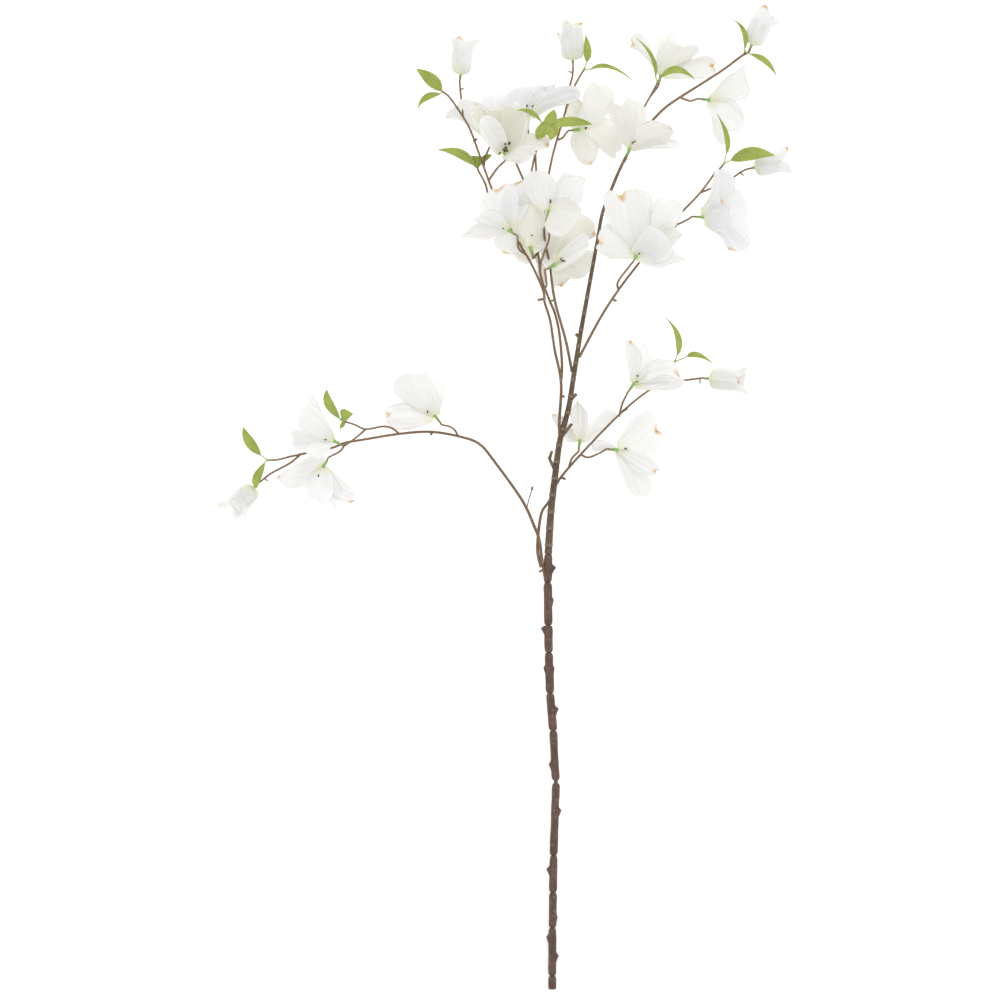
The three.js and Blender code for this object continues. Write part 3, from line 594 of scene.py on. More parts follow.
# %% From skins to objects
SHARP = math.radians(55)


def make_object(name, shells, material):
    """One mesh object of skins in millimetres, placed in the frame, with their UV and marks."""
    mesh = bpy.data.meshes.new(name)
    offsets = np.cumsum([0] + [len(shell["points"]) for shell in shells])
    points = place(np.concatenate([shell["points"] for shell in shells]))
    quads = np.concatenate([shell["quads"] + offset for shell, offset in zip(shells, offsets)])
    mesh.from_pydata(points, [], quads)
    mesh.materials.append(material)
    uv = np.concatenate([shell["uv"] for shell in shells])
    layer = mesh.uv_layers.new(name="UVMap")
    layer.data.foreach_set("uv", uv[quads.ravel()].astype(np.float32).ravel())
    for key in [key for key in shells[0] if key not in ("points", "quads", "uv")]:
        values = np.concatenate([shell[key] for shell in shells]).astype(np.float32)
        kind, field = ("FLOAT_VECTOR", "vector") if values.ndim == 2 else ("FLOAT", "value")
        mesh.attributes.new(key, kind, "POINT").data.foreach_set(field, values.ravel())
    mesh.shade_smooth()
    mesh.set_sharp_from_angle(angle=SHARP)
    return add_object(name, mesh)


def settle(piece, slot_name, *nodes):
    """The piece rides on the branch and stands for its nodes, which it hides. The slot name is not used."""
    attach(piece, "root")
    if nodes:
        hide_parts(*nodes)


print("edges sharp from", round(math.degrees(SHARP)), "degrees")

# %% [markdown]
# ## Bark sleeves
# The lower stem is a row of moulded sleeves. Each has a rounded shoulder at both ends, a waist
# between, shallow lengthwise furrows and here and there a thorn where a shoot was cut. A sleeve
# is one skin that runs along its outside and back through its bore, so it is swept ring by
# ring along the stem's middle line. Thorns are pushed out of the same skin, which leaves no
# joint at their feet.

# %% Sleeve measures
TRUNK_END = 481.0
TRUNK_LINE = np.array([
    [0.4, 0, 4.8],
    [0.7, 68, 8.4],
    [1.9, 147, 12.6],
    [4.5, 227, 17.5],
    [1.4, 286, 20.5],
    [-2, 327, 23],
    [-3.5, 372, 25.5],
    [-4.6, 449, 30],
    [-4, TRUNK_END, 32],
])
SLEEVE_JOINT = 0.3
SLEEVE_SIDES = 40
SLEEVE_STEP = 1.1
CORE_RADIUS = 2.2
BORE_RADIUS = 2.5
LOWEST_BARK = 0.15  # no bark comes nearer to the surface than this
SHOULDER = np.array([0, 0.35, 0.9, 1.7, 2.7])  # where a shoulder's rings lie, from the sleeve's end
SHOULDER_LENGTH = 6
SHOULDER_RADII = (0.6, 0.42)  # the radius at the very end and how much the shoulder adds, as shares
WAIST = 0.05  # how much thinner a sleeve is half way along, as a share
THORN_BELOW = 8  # how far a thorn runs out along the stem, towards the cut end
THORN_ABOVE = 4  # and towards the tip
THORN_ROUND = 0.42  # and round the stem
FURROWS = [(9.0, 40, 0.13), (22.0, 80, 0.16)]  # size, seed and depth
FURROW_GRAIN = (2.4, 9)  # the circle that the furrows are read on, and how much they are drawn out

# Where each sleeve starts and ends, its radius, and its thorns: distance along the stem, side
# (-1 left, 1 right), and how far the thorn reaches from the middle line.
SLEEVES = [
    (-1.6, 15, 4.5, []),
    (15, 68, 4.5, [(37.5, 1, 7.6), (58, -1, 7)]),
    (68, 107, 4.45, [(80, 1, 5.8)]),
    (107, 148, 4.4, [(133, -1, 8.2)]),
    (148, 228, 4.45, [(198, 1, 7.6)]),
    (231, 286, 4.5, [(249, -1, 7)]),
    (286, 327, 4.8, [(310, 1, 8.6)]),
    (327, 372, 4.7, [(355, -1, 6.8), (355, 1, 6.2)]),
    (372, 402, 4.8, [(399, -1, 8.8)]),
    (402, 449, 4.75, [(430, 1, 6.6)]),
    (449, TRUNK_END, 4.6, [(466, 1, 9.4)]),
]


def trunk_at(y):
    """The place on the trunk's middle line at a distance from the cut end."""
    return np.stack([np.interp(y, TRUNK_LINE[:, 1], TRUNK_LINE[:, i]) for i in range(3)], axis=-1)


print("sleeves:", len(SLEEVES), "thorns:", sum(len(row[3]) for row in SLEEVES))

# %% Sleeves


def sleeve_shell(number, start, end, radius, thorns):
    """One sleeve: its outside from end to end, then its bore back again."""
    start, end = start + SLEEVE_JOINT / 2, end - SLEEVE_JOINT / 2
    between = np.arange(start + 4, end - 4, SLEEVE_STEP)
    y = np.unique(np.concatenate([start + SHOULDER, between, end - SHOULDER]))
    from_end = np.minimum(y - start, end - y)
    rise = np.sqrt(1 - (1 - np.clip(from_end / SHOULDER_LENGTH, 0, 1)) ** 2)
    shoulder = SHOULDER_RADII[0] + SHOULDER_RADII[1] * rise
    waist = 1 - WAIST * np.sin(math.pi * np.clip((y - start) / (end - start), 0, 1)) ** 0.6
    turns = turns_of(SLEEVE_SIDES)
    side = np.cos(turns)
    up = np.sin(turns)
    flat = np.zeros_like(turns)
    centre = trunk_at(y)[:, None, :]
    hoop = np.stack([side, flat, up], axis=-1)[None, :, :]
    around = np.broadcast_to(hoop, (len(y), SLEEVE_SIDES, 3))
    grain_round, grain_along = FURROW_GRAIN
    skin = around * grain_round + (y / grain_along)[:, None, None] * np.array([0, 1, 0])
    furrows = sum(ripple(skin * 6, size, seed + number) * depth for size, seed, depth in FURROWS)
    reach = radius * (shoulder * waist)[:, None] + furrows * ease(from_end, 0, 2)[:, None]
    for at, direction, tip in thorns:
        span_y = (y[:, None] - at) / np.where(y[:, None] < at, THORN_BELOW, THORN_ABOVE)
        span_turn = (1 - side[None, :] * direction) / THORN_ROUND
        nearness = np.clip(1 - np.sqrt(span_y**2 + span_turn**2), 0, 1)
        reach = reach + (tip - radius) * nearness**1.25
    outside = centre + around * reach[..., None]
    outside[..., 2] = np.maximum(outside[..., 2], LOWEST_BARK)
    bore = centre + around * BORE_RADIUS
    rings = np.concatenate([outside, bore[::-1]])
    run = np.repeat(np.concatenate([y, y[::-1]]), SLEEVE_SIDES)
    uv = np.stack([np.tile(turns, len(rings)), run], axis=1)
    hoops = np.tile(np.stack([side, up, flat], axis=-1), (len(rings), 1))
    girth = np.full(len(run), radius * MM)
    return rings_shell(rings, uv, joined=True, girth=girth, run=run * MM, hoop=hoops)


for number, row in enumerate(SLEEVES, 1):
    sleeve = make_object(f"sleeve_{number:02d}", [sleeve_shell(number, *row)], barks["trunk_bark"])
    settle(sleeve, "bark", f"bark_sleeve_{number:02d}")
    print(sleeve.name, "faces:", len(sleeve.data.polygons))

# %% [markdown]
# ## Stems, stalks and stubs
# Every stem is a line with a girth that tapers, and this is what Geometry Nodes are good at:
# one tree turns bare lines into round, knotted bark, and every stem of the branch goes through
# it. The lines are edges of a mesh, with the girth as a value on their points. The tree makes
# smooth curves of them, swells them at even spacing into the rings that such stems have, with a
# narrow neck beside each ring, sweeps a circle along them and roughens the skin with noise.

# %% Stem tree inputs
NECK_BEFORE = 1.6  # how far the neck lies before its ring, in lengths of the ring
NECK_DEPTH = 0.8  # as a share of the ring's height
SKIN_NOISE = {"Scale": 260.0, "Detail": 2.0}

stem_tree = bpy.data.node_groups.new("stem_skin", "GeometryNodeTree")
stem_tree.interface.new_socket(name="Skin", in_out="OUTPUT", socket_type="NodeSocketGeometry")
STEM_SOCKETS = add_inputs(stem_tree, (
    ("Lines", "Geometry", None),
    ("Ring Spacing", "Float", 0.04),
    ("Ring Height", "Float", 0.12),
    ("Ring Length", "Float", 0.0016),
    ("Roughness Depth", "Float", 0.0003),
    ("Step", "Float", 0.0015),
    ("Sides", "Int", 12),
    ("Bark", "Material", None),
))
print("inputs of the stem tree:", ", ".join(STEM_SOCKETS))

# %% Stem tree


def shape_node(tree, kind, inputs=None, **properties):
    """The first output of a node whose name starts with GeometryNode."""
    return add_node(tree, "GeometryNode" + kind, inputs, **properties).outputs[0]


def store(tree, geometry, name, value, data_type="FLOAT"):
    """The geometry with a value stored on its points."""
    sockets = {"Geometry": geometry, "Name": name, "Value": value}
    return shape_node(tree, "StoreNamedAttribute", sockets, data_type=data_type, domain="POINT")


def bell(tree, value, sharpness):
    """1 where a value is 0, falling away on both sides of it."""
    square = sum_of(tree, "POWER", sum_of(tree, "ABSOLUTE", value), 2.0)
    return sum_of(tree, "EXPONENT", times(tree, square, -sharpness))


def grow_stem_tree(tree):
    """Fills the stem tree: lines to curves, rings, a swept circle and a rough skin."""
    given = tree.nodes.new("NodeGroupInput").outputs
    curve = shape_node(tree, "MeshToCurve", {0: given["Lines"]})
    smooth = shape_node(tree, "CurveSplineType", {0: curve}, spline_type="CATMULL_ROM")
    steps = {"Curve": smooth, "Length": given["Step"]}
    stepped = shape_node(tree, "ResampleCurve", steps, mode="LENGTH")
    run = add_node(tree, "GeometryNodeSplineParameter").outputs["Length"]
    girth = shape_node(tree, "InputNamedAttribute", {"Name": "girth"}, data_type="FLOAT")
    half = times(tree, given["Ring Spacing"], 0.5)
    phase = sum_of(tree, "SUBTRACT", sum_of(tree, "MODULO", run, given["Ring Spacing"]), half)
    from_ring = sum_of(tree, "DIVIDE", phase, given["Ring Length"])
    from_neck = sum_of(tree, "ADD", from_ring, NECK_BEFORE)
    neck = times(tree, bell(tree, from_neck, 2.0), NECK_DEPTH)
    shape = sum_of(tree, "SUBTRACT", bell(tree, from_ring, 1.0), neck)
    radius = times(tree, girth, scaled(tree, shape, given["Ring Height"], 1.0))
    marked = store(tree, store(tree, stepped, "run", run), "ring", shape)
    circle = shape_node(tree, "CurvePrimitiveCircle", {"Resolution": given["Sides"], "Radius": 1.0})
    hooped = store(tree, circle, "hoop", shape_node(tree, "InputPosition"), "FLOAT_VECTOR")
    sweep = {"Curve": marked, "Profile Curve": hooped, "Scale": radius, "Fill Caps": True}
    swept = shape_node(tree, "CurveToMesh", sweep)
    noise = add_node(tree, "ShaderNodeTexNoise", SKIN_NOISE, noise_dimensions="3D").outputs["Fac"]
    depth = times(tree, sum_of(tree, "SUBTRACT", noise, 0.5), given["Roughness Depth"])
    along_normal = {0: shape_node(tree, "InputNormal"), "Scale": depth}
    push = add_node(tree, "ShaderNodeVectorMath", along_normal, operation="SCALE").outputs[0]
    rough = shape_node(tree, "SetPosition", {"Geometry": swept, "Offset": push})
    solid = shape_node(tree, "RealizeInstances", {0: shape_node(tree, "SetShadeSmooth", {0: rough})})
    painted = shape_node(tree, "SetMaterial", {"Geometry": solid, "Material": given["Bark"]})
    tree.links.new(painted, tree.nodes.new("NodeGroupOutput").inputs[0])


grow_stem_tree(stem_tree)
print("stem tree nodes:", len(stem_tree.nodes))

# %% [markdown]
# ## From lines to stems
# The next helper puts lines through the tree. It lays them out as a mesh of edges, gives their
# points a girth, sets the tree's inputs on a modifier, takes the finished skin as a plain mesh
# and throws the lines away. An input is set by the identifier of its socket, because two
# sockets could share one name.

# %% Lines to stems
TAPER = 1.8  # above 1, a stem thins fast at first and slowly towards its tip


def stem_object(name, lines, bark, **settings):
    """An object of bark round lines, each a list of places with the girth at both ends."""
    points, girths, edges = [], [], []
    for route, first, last in lines:
        route = np.asarray(route, float)
        steps = np.linalg.norm(np.diff(route, axis=0), axis=1)
        share = np.concatenate([[0], np.cumsum(steps)]) / steps.sum()
        edges += [(len(points) + i, len(points) + i + 1) for i in range(len(route) - 1)]
        points += list(route)
        girths += list(last + (first - last) * np.maximum(1 - share, 0) ** TAPER)
    mesh = bpy.data.meshes.new(name)
    mesh.from_pydata(place(points), edges, [])
    girth_mark = mesh.attributes.new("girth", "FLOAT", "POINT")
    girth_mark.data.foreach_set("value", np.asarray(girths, np.float32) * MM)
    raw = add_object(name + "_lines", mesh)
    modifier = raw.modifiers.new("skin", "NODES")
    modifier.node_group = stem_tree
    modifier[STEM_SOCKETS["Bark"].identifier] = bark
    for socket_name, value in settings.items():
        modifier[STEM_SOCKETS[socket_name.replace("_", " ").title()].identifier] = value
    seen = raw.evaluated_get(bpy.context.evaluated_depsgraph_get())
    made = add_object(name, bpy.data.meshes.new_from_object(seen))
    raw.modifiers.remove(modifier)
    bpy.data.objects.remove(raw)
    return made


print("taper:", TAPER)

# %% [markdown]
# ## Where the blossoms are
# The stalks need to know where they end, so the tables of what they carry come first. A row for
# a blossom holds the middle of its petals' feet, the direction that it opens in, and its
# tone: cool white below 0 is painted light, cream up to 1 is the cloth's own tone and olive
# beyond is painted shade. Then come its petals: the left edge where the petal is widest, the
# tip, the right edge, and a character. The three points count from the blossom's middle, but an
# edge's third number is its lift above the petal's middle line. A last number, where there is
# one, is painted shading on that petal alone: above 0 it adds olive shade, below 0 cool light.

# %% Blossom table
BLOSSOMS = {
    "blossom_01": ((-129, 633, 42), (-0.6, 0.75, 0.1), 0, [
        ((-40, 13, 3), (-56, 0, -5), (-34, -16, -4), "stained"),
        ((-44, 26, -6), (-23, 49, 22), (2, 30, -7), "scooped"),
        ((-15, 28, -4), (2, 42, -12), (12, 29, 4), "spiked"),
        ((-36, 12, 6), (-28, 20, -38.5), (-12, 28, 6), "plain"),
    ]),
    "blossom_02": ((-240, 605, 52), (-0.9, 0.4, 0.1), -0.1, [
        ((-36, 22, -6), (-24, 53, -4), (-13, 32, 4), "spiked"),
        ((-22, 40, -4), (-39, 24, 26), (-28, 7, -4), "plain"),
        ((-38, 12, 5), (-46, 2, -12), (-34, -9, 5), "plain"),
        ((-31, -7, -6), (-18, -19, 24), (-5, -10, -8), "plain"),
    ]),
    "blossom_03": ((-252, 576, 38), (-0.5, -0.85, 0.05), -0.1, [
        ((-13, 12, 6), (-54, -12, -4), (-32, -23, -6), "rolled"),
        ((-20, -19, -7), (-3, -40, 20), (12, -22, -6), "scooped"),
        ((2, -28, 7), (15, -46, -14), (19, -23, -7), "spiked"),
        ((12, -32, 8), (33, -40, -31.5), (25, -18, -4), "stained"),
    ]),
    "blossom_04": ((31, 606, 26), (0.15, 0.95, -0.1), 0.35, [
        ((-10, 29, 4), (-3, 47, 4), (9, 25, 5), "spiked"),
        ((19, 28, -5), (40, 30, 2), (25, 8, -8), "plain"),
        ((-20, 23, 4), (-31, 31, -8), (-23, 12, -6), "stained"),
        ((-12, 11, 5), (-17, 3, -16), (-8, -2, -4), "plain"),
    ]),
    "blossom_05": ((72, 595, 36), (0.85, -0.1, 0.4), 0, [
        ((23, 39, 5), (45, 30, 4), (44, 0, 6), "notched"),
        ((37, -8, 6), (44, -26, 14), (24, -25, -5), "stained"),
        ((7, -31, -6), (24, -52, -6), (36, -33, -2), "plain"),
        ((-19, 12, 8), (-28, 4, -31.6), (-18, -1, -4), "plain"),
    ]),
    "blossom_06": ((90, 668, 50), (0.55, 0.8, 0.2), 0, [
        ((-9, 33, 3), (-6, 50, 8), (7, 33, 5), "stained"),
        ((-2, 34, -3), (8, 46, -20), (21, 26, 5), "broad"),
        ((26, 28, 5), (52, 14, -4), (33, -2, 7), "stained"),
        ((38, 7, 10), (57, 3, 12), (33, -8, -8), "ruffled", -0.1),
    ]),
    "blossom_07": ((92, 807, 66), (0.2, 0.35, 0.9), 0, [
        ((-35, 52, 7), (-16, 74, 16), (14, 51, 9), "notched"),
        ((-8, 58, 3), (7, 74, -6), (18, 48, 3), "plain", 0.2),
        ((14, 49, 3), (35, 64, -2), (48, 41, 6), "plain"),
        ((-26, 37, -7), (-44, 15, 20), (-31, 0, -5), "stained", 0.35),
        ((31, 36, 6), (54, 24, 12), (36, 10, -5), "rolled", 0.6),
        ((29, 15, 6), (55, -4, 10), (25, -12, -8), "spiked", 0.1),
        ((0, 17, 4), (22, 32, 30), (39, 0, 4), "broad", -0.1),
    ]),
    "blossom_08": ((167, 851, 54), (0.97, -0.05, 0.1), -0.5, [
        ((8, 32, -4), (19, 53, 4), (34, 31, 3), "broad"),
        ((11, 17, -7), (29, 0, 36), (20, -18, -9), "broad"),
        ((31, 31, 5), (49, 5, -24), (42, -25, 6), "broad"),
        ((18, -20, -5), (34, -39, 4), (50, -23, 5), "stained"),
        ((10, 24, 3), (22, 19, 28), (27, 4, -4), "notched"),
    ]),
    "blossom_09": ((173, 980, 47), (0.9, -0.1, 0.1), 0, [
        ((18, 24, 4), (39, 38, 8), (43, 6, 7), "spiked"),
        ((32, -5, 7), (35, -32, 6), (10, -26, 5), "plain"),
        ((4, -24, -9), (12, -47, -18), (22, -36, 8), "plain"),
        ((21, 17, 8), (26, 7, -43.5), (26, 0, 8), "plain"),
    ]),
    "blossom_10": ((120, 1008, 32), (0.25, 0.95, 0), 0.4, [
        ((-22, 45, 6), (-35, 35, 4), (-23, 25, -4), "stained"),
        ((-1, 32, -5), (22, 34, 22), (41, 25, -3), "scooped"),
        ((-6, 33, 3), (4, 46, -18), (16, 36, 3), "plain"),
        ((45, 20, 9), (62, 7, -2), (43, -4, 9), "stained"),
    ]),
    "blossom_11": ((85, 926, 68), (0.3, 0.9, 0.2), 0.3, [
        ((-9, 41, -3), (5, 54, -2), (18, 33, -3), "plain", 0.2),
        ((20, 29, -3), (50, 23, 10), (36, 6, -9), "rolled", 0.35),
        ((34, 12, 4), (55, 7, -8), (38, 0, -4), "plain", -0.1),
        ((-21, 37, -5), (-14, 50, 16), (5, 40, -3), "scooped", 0.25),
    ]),
    "blossom_12": ((30, 948, 42), (0.7, 0.1, 0.2), 0.4, [
        ((3, 33, 4), (21, 51, 4), (39, 28, 7), "ruffled"),
        ((39, 9, -5), (44, -29, -10), (20, -18, -4), "scooped", 0.25),
        ((-9, -18, -6), (10, -42, -4), (20, -23, -5), "stained", 0.35),
        ((-15, 19, -5), (-9, 38, -22), (5, 26, 5), "broad", 0.7),
    ]),
    "blossom_13": ((-26, 963, 60), (0.05, 0.98, 0.1), -0.9, [
        ((-26, 15, 4), (-8, 33, -26), (22, 27, -4), "broad"),
        ((2, 25, 3), (32, 37, -24), (25, 20, -4), "spiked", 0.1),
        ((33, 30, 5), (57, 25, 8), (37, 11, -6), "broad"),
        ((-15, 14, -5), (-17, -2, 20), (0, -7, -5), "plain", 1.4),
        ((-5, 13, 3), (18, 28, -10), (16, 11, 3), "plain", 1.2),
    ]),
    # painted shade: the olive of the first three petals is the shade deep inside this bell; the fifth petal
    # is a pale sheet laid over the bell's left wall as a painted highlight
    "blossom_14": ((-52, 921, 68), (-0.05, 0.6, 0.8), 0.4, [
        ((-27, 35, 5), (-1, 51, 2), (28, 37, 5), "broad", 0.9),
        ((-32, 28, 3), (-34, 49, 4), (-17, 45, 3), "broad", 0.7),
        ((-4, 40, 4), (10, 53, 14), (26, 26, 5), "broad", 0.8),
        ((28, 9, 6), (29, -7, 26), (4, -10, -5), "ruffled", 0.25),
        ((-24, 16, 5), (-23, 40, 26), (-2, 27, 5), "broad", -0.1),
        ((30, 21, 4), (53, 12, -18), (31, 3, 4), "stained", 0.4),
    ]),
    "blossom_15": ((-75, 941, 45), (-0.5, 0.8, -0.1), 0, [
        ((-23, 33, 5), (-42, 26, -3), (-16, 14, -6), "rolled"),
        ((-25, 26, 4), (-24, 40, 14), (-9, 30, 5), "plain"),
        ((-17, 27, 5), (-10, 37, -26), (-1, 31, 5), "stained"),
        ((-12, 15, 8), (-15, 7, -41), (-5, 19, 8), "plain"),
    ]),
    "blossom_16": ((-48, 837, 62), (-0.7, 0.5, 0.3), 0.05, [
        ((-32, 21, 6), (-5, 51, 2), (12, 30, 4), "notched", -0.1),
        ((-9, 29, 2), (13, 57, -8), (27, 35, 4), "stained"),
        ((-17, 22, 9), (-40, 11, 18), (-13, 0, -6), "spiked"),
        ((-33, 7, 4), (-53, -9, 4), (-21, -9, -9), "spiked", 0.1),
        ((-15, -14, -4), (1, -27, -20), (16, -16, -4), "stained", 0.1),
    ]),
    "blossom_17": ((-4, 858, 68), (0.2, 0.9, 0.3), 0.15, [
        ((-27, 24, -5), (-12, 44, 18), (10, 24, -7), "plain", -0.15),
        ((15, 39, 5), (41, 37, -4), (35, 9, 8), "spiked", -0.15),
        ((22, 13, 8), (34, -7, 20), (8, -29, -5), "broad", 0.2),
        ((7, 15, 5), (17, 21, -38), (22, 9, 5), "broad", 0.4),
    ]),
    "blossom_18": ((3, 799, 54), (0.8, 0.5, 0), 0.6, [
        ((21, 54, 3), (48, 38, -16), (25, 26, 5), "stained", 0.3),
        ((26, 33, 6), (38, 21, -2), (18, 0, 6), "broad", -0.3),
        ((39, 16, -4), (40, -6, -26), (21, -15, -6), "broad", 0.2),
        ((-4, -12, 5), (5, -23, -46), (23, -6, 7), "stained", 0.2),
        ((-14, 7, 4), (-10, 36, -22), (11, 27, 4), "broad"),
    ]),
    # painted shade: this blossom lies behind the others, so its petals are olive
    "blossom_19": ((-24, 818, 56), (-0.2, 0.7, 0.1), 0.8, [
        ((-22, 30, -8), (-2, 57, 10), (16, 35, -9), "plain", 0.1),
        ((9, -26, 6), (14, -41, -30), (18, -25, -3), "stained"),
        ((-20, 13, 5), (-11, -16, -28), (12, -3, 5), "broad", 0.5),
        ((11, 28, 4), (28, 24, -22), (20, 2, 4), "broad", -0.5),
    ]),
    "blossom_20": ((-54, 958, 38), (0, 0.9, -0.2), -0.4, [
        ((-25, 18, 3), (-36, 19, -6), (-21, 8, -6), "plain"),
        ((-23, 19, -4), (-8, 30, -20), (12, 21, 4), "broad"),
        ((14, 19, 5), (23, 12, -14), (14, 0, -4), "plain", 0.4),
        ((-14, 9, 5), (-4, 10, -34.5), (3, 0, 5), "plain", 0.4),
    ]),
}
CALYX_LENGTH = 8.0
feet = {
    name: (np.array(centre) - unit(axis) * CALYX_LENGTH, unit(axis))
    for name, (centre, axis, *_) in BLOSSOMS.items()
}
print("blossoms:", len(BLOSSOMS), "petals:", sum(len(row[3]) for row in BLOSSOMS.values()))

# %% [markdown]
# ## Where the buds and leaves are
# A bud is its foot, the direction that it points in, the radius of its belly and its warmth,
# and its petals: the tip, half the angle that the petal wraps round the belly, and its look. A
# sprig is a foot, a direction and its blades: where the blade starts on its own short stalk,
# its left edge where it is widest, its tip and its right edge. All of these points count from
# the foot.

# %% Bud and leaf tables
BUDS = {
    "bud_01": ((-325, 557, 24), (-0.72, -0.68, -0.12), 11.5, 0.1, [
        ((-44, -23, 3), 62, "tip_olive"),
        ((-25, -38, 2), 56, "tip"),
        ((-13, -36, 5), 56, "tip"),
        ((-23, -27, 10), 66, "lobe"),
        ((-23, -34, -9), 70, "lobe"),
    ]),
    "bud_02": ((169, 674, 31), (1, -0.06, 0), 12.3, 0.1, [
        ((46, 11, 6), 60, "tip_olive"),
        ((46, -17, 6), 60, "tip"),
        ((37, -5, 12), 60, "tip_stained"),
        ((44, 0, -9), 70, "lobe"),
    ]),
    "bud_03": ((219, 905, 44), (0.97, 0.2, 0), 11, -0.2, [
        ((45, -5, 8), 72, "lobe"),
        ((41, 22, 8), 72, "tip_stained"),
        ((30, 5, 11), 60, "lobe"),
        ((36, 7, -10), 75, "lobe"),
    ]),
    "bud_04": ((218, 1037, 48), (0.4, 0.92, 0), 11.3, 0, [
        ((17, 47, 8), 62, "tip_stained"),
        ((6, 36, 2), 60, "tip"),
        ((33, 29, 8), 66, "lobe"),
        ((18, 40, -9), 75, "lobe"),
    ]),
    "bud_05": ((-101, 1004, 48), (0.1, 0.99, 0), 10.6, 0, [
        ((-1, 46, 9), 58, "tip_stained"),
        ((-10, 45, 4), 58, "tip"),
        ((21, 42, 7), 66, "lobe"),
        ((6, 41, -10), 75, "lobe"),
    ]),
    "bud_06": ((23, 1020, 47), (-0.03, 1, 0), 12, 0.1, [
        ((-8, 47, 6), 60, "tip_olive"),
        ((9, 45, 8), 62, "lobe_stained"),
        ((1, 40, 11.5), 60, "lobe"),
        ((-17, 34, 5), 34, "tip_stained"),
        ((1, 41, -11), 75, "lobe"),
    ]),
}
SPRIGS = {
    "leaves_left_tip": ((-312, 584, 33), (-1, 0, 0), [
        ((-9.2, 5.6, 2), (-25.2, 16.6), (-27.9, 36.4, 4), (-14.7, 21)),
        ((-4.8, -3.2, 1), (-17.5, -18.6), (-12.5, -30.7, 3), (-7, -17.5)),
    ]),
    "leaves_left_stem": ((-231, 628, 45), (-0.9, 0.4, 0), [
        ((-2.8, 1.8, 1), (-18.7, 15.5), (-16.5, 33.7, 6), (-8.3, 17.7)),
        ((-0, 1.2, 1), (0.5, 12.2), (12.1, 6.7, 8), (5.5, -0.4)),
        ((2.2, -1, 0.5), (-1.7, -4.3), (-2.2, -9.8, 2), (3.3, -5.4)),
    ]),
    "leaves_right_low": ((135, 692, 33), (0.4, 0.9, 0), [
        ((3.1, 7.6, 1), (0.3, 28.5), (-10.7, 49.4, 6), (8, 25.2)),
        ((13.5, 6, 1), (23.4, 11.5), (42.1, -1.8, 2), (25.6, 4.9)),
    ]),
    "leaves_right_stem": ((189, 910, 46), (0.6, 0.8, 0), [
        ((3, 11.8, 2), (0.2, 30.5), (-8, 53.6, 20), (6.8, 27.2)),
        ((7.9, 4.1, 2), (27.7, 17.9), (55.2, 8.5, 22), (28.8, 3)),
    ]),
    "leaves_top_right": ((212, 1033, 52), (0, 0.3, 0.95), [
        ((-0.2, 3.2, 2), (-3.5, 20.8), (-14, 35.1, 6), (2.5, 20.2)),
        ((5.8, -2.8, 2), (22.3, -6.1), (34.4, -26.5, 4), (17.9, -11.1)),
    ]),
    "leaves_top_middle": ((116, 1000, 45), (0.2, 0.6, 0.8), [
        ((-2.1, 5.4, 3), (-7.1, 24.1), (-22.5, 47.2, 10), (-2.1, 24.1)),
        ((2.8, 4.3, 3), (18.2, 17.5), (42.4, 1, 4), (19.3, 9.3)),
    ]),
    "leaves_top_centre": ((35, 1013, 52), (0.5, 0.8, 0), [
        ((3, 8.9, 1), (-0.3, 21), (1.9, 38.1, 2), (8.5, 19.9)),
        ((6.8, 0.1, 1), (23.3, 6.7), (53, -11.4, 4), (24.4, 1.8)),
    ]),
    "leaves_crown": ((-9, 950, 58), (0.2, 0.8, 0.4), [
        ((-3.1, 5.9, 6), (-14.1, 12.5), (-29.5, 16.9, 36), (-12.5, 17.5)),
        ((1.3, 0.4, 4), (1.3, 10.3), (11.2, 19.1, 6), (13.4, 7)),
        ((3.5, 2.1, 4), (26.6, 10.9), (53, 2.6, 8), (24.4, -0.1)),
        ((2.4, 7, 4), (-9.2, -4), (-6.4, -13.9, 6), (5.7, -5.1)),
        ((6.8, 5.9, 4), (2.4, -5.1), (7.9, -14.4, 6), (16.7, -2.9)),
    ]),
    "leaves_left_crown": ((-82, 907, 46), (-0.2, 0.9, 0.1), [
        ((-3.8, 1.6, 1), (-21.4, 9.3), (-43.4, 18.1, 4), (-14.8, 17.6)),
        ((1.7, 3.8, -1), (6.6, 12.1), (16, 12.6, -4), (8.8, 5.5)),
        ((-0.5, -1.7, -1), (-8.8, 7.1), (-3.8, 11.5, -6), (5.5, 7.1)),
    ]),
    "leaves_top_left": ((-120, 989, 50), (-0.7, 0.5, 0), [
        ((-1.6, 1, 1), (-17.5, 8.2), (-29.1, 25.2, 4), (-6.5, 17)),
        ((-3.2, -2.3, 1), (-17.5, -10), (-27.4, -18.8, 2), (-18.6, -2.3)),
    ]),
}
for table in (BUDS, SPRIGS):
    feet.update({name: (np.array(foot, float), unit(axis)) for name, (foot, axis, *_) in table.items()})
print("buds:", len(BUDS), "sprigs:", len(SPRIGS))

# %% [markdown]
# ## The ways of the stems
# A long stem is listed as the points that its middle line passes through, from where it leaves
# the stem that carries it. Eight to nineteen points are enough, because the tree bends a smooth
# curve through them.

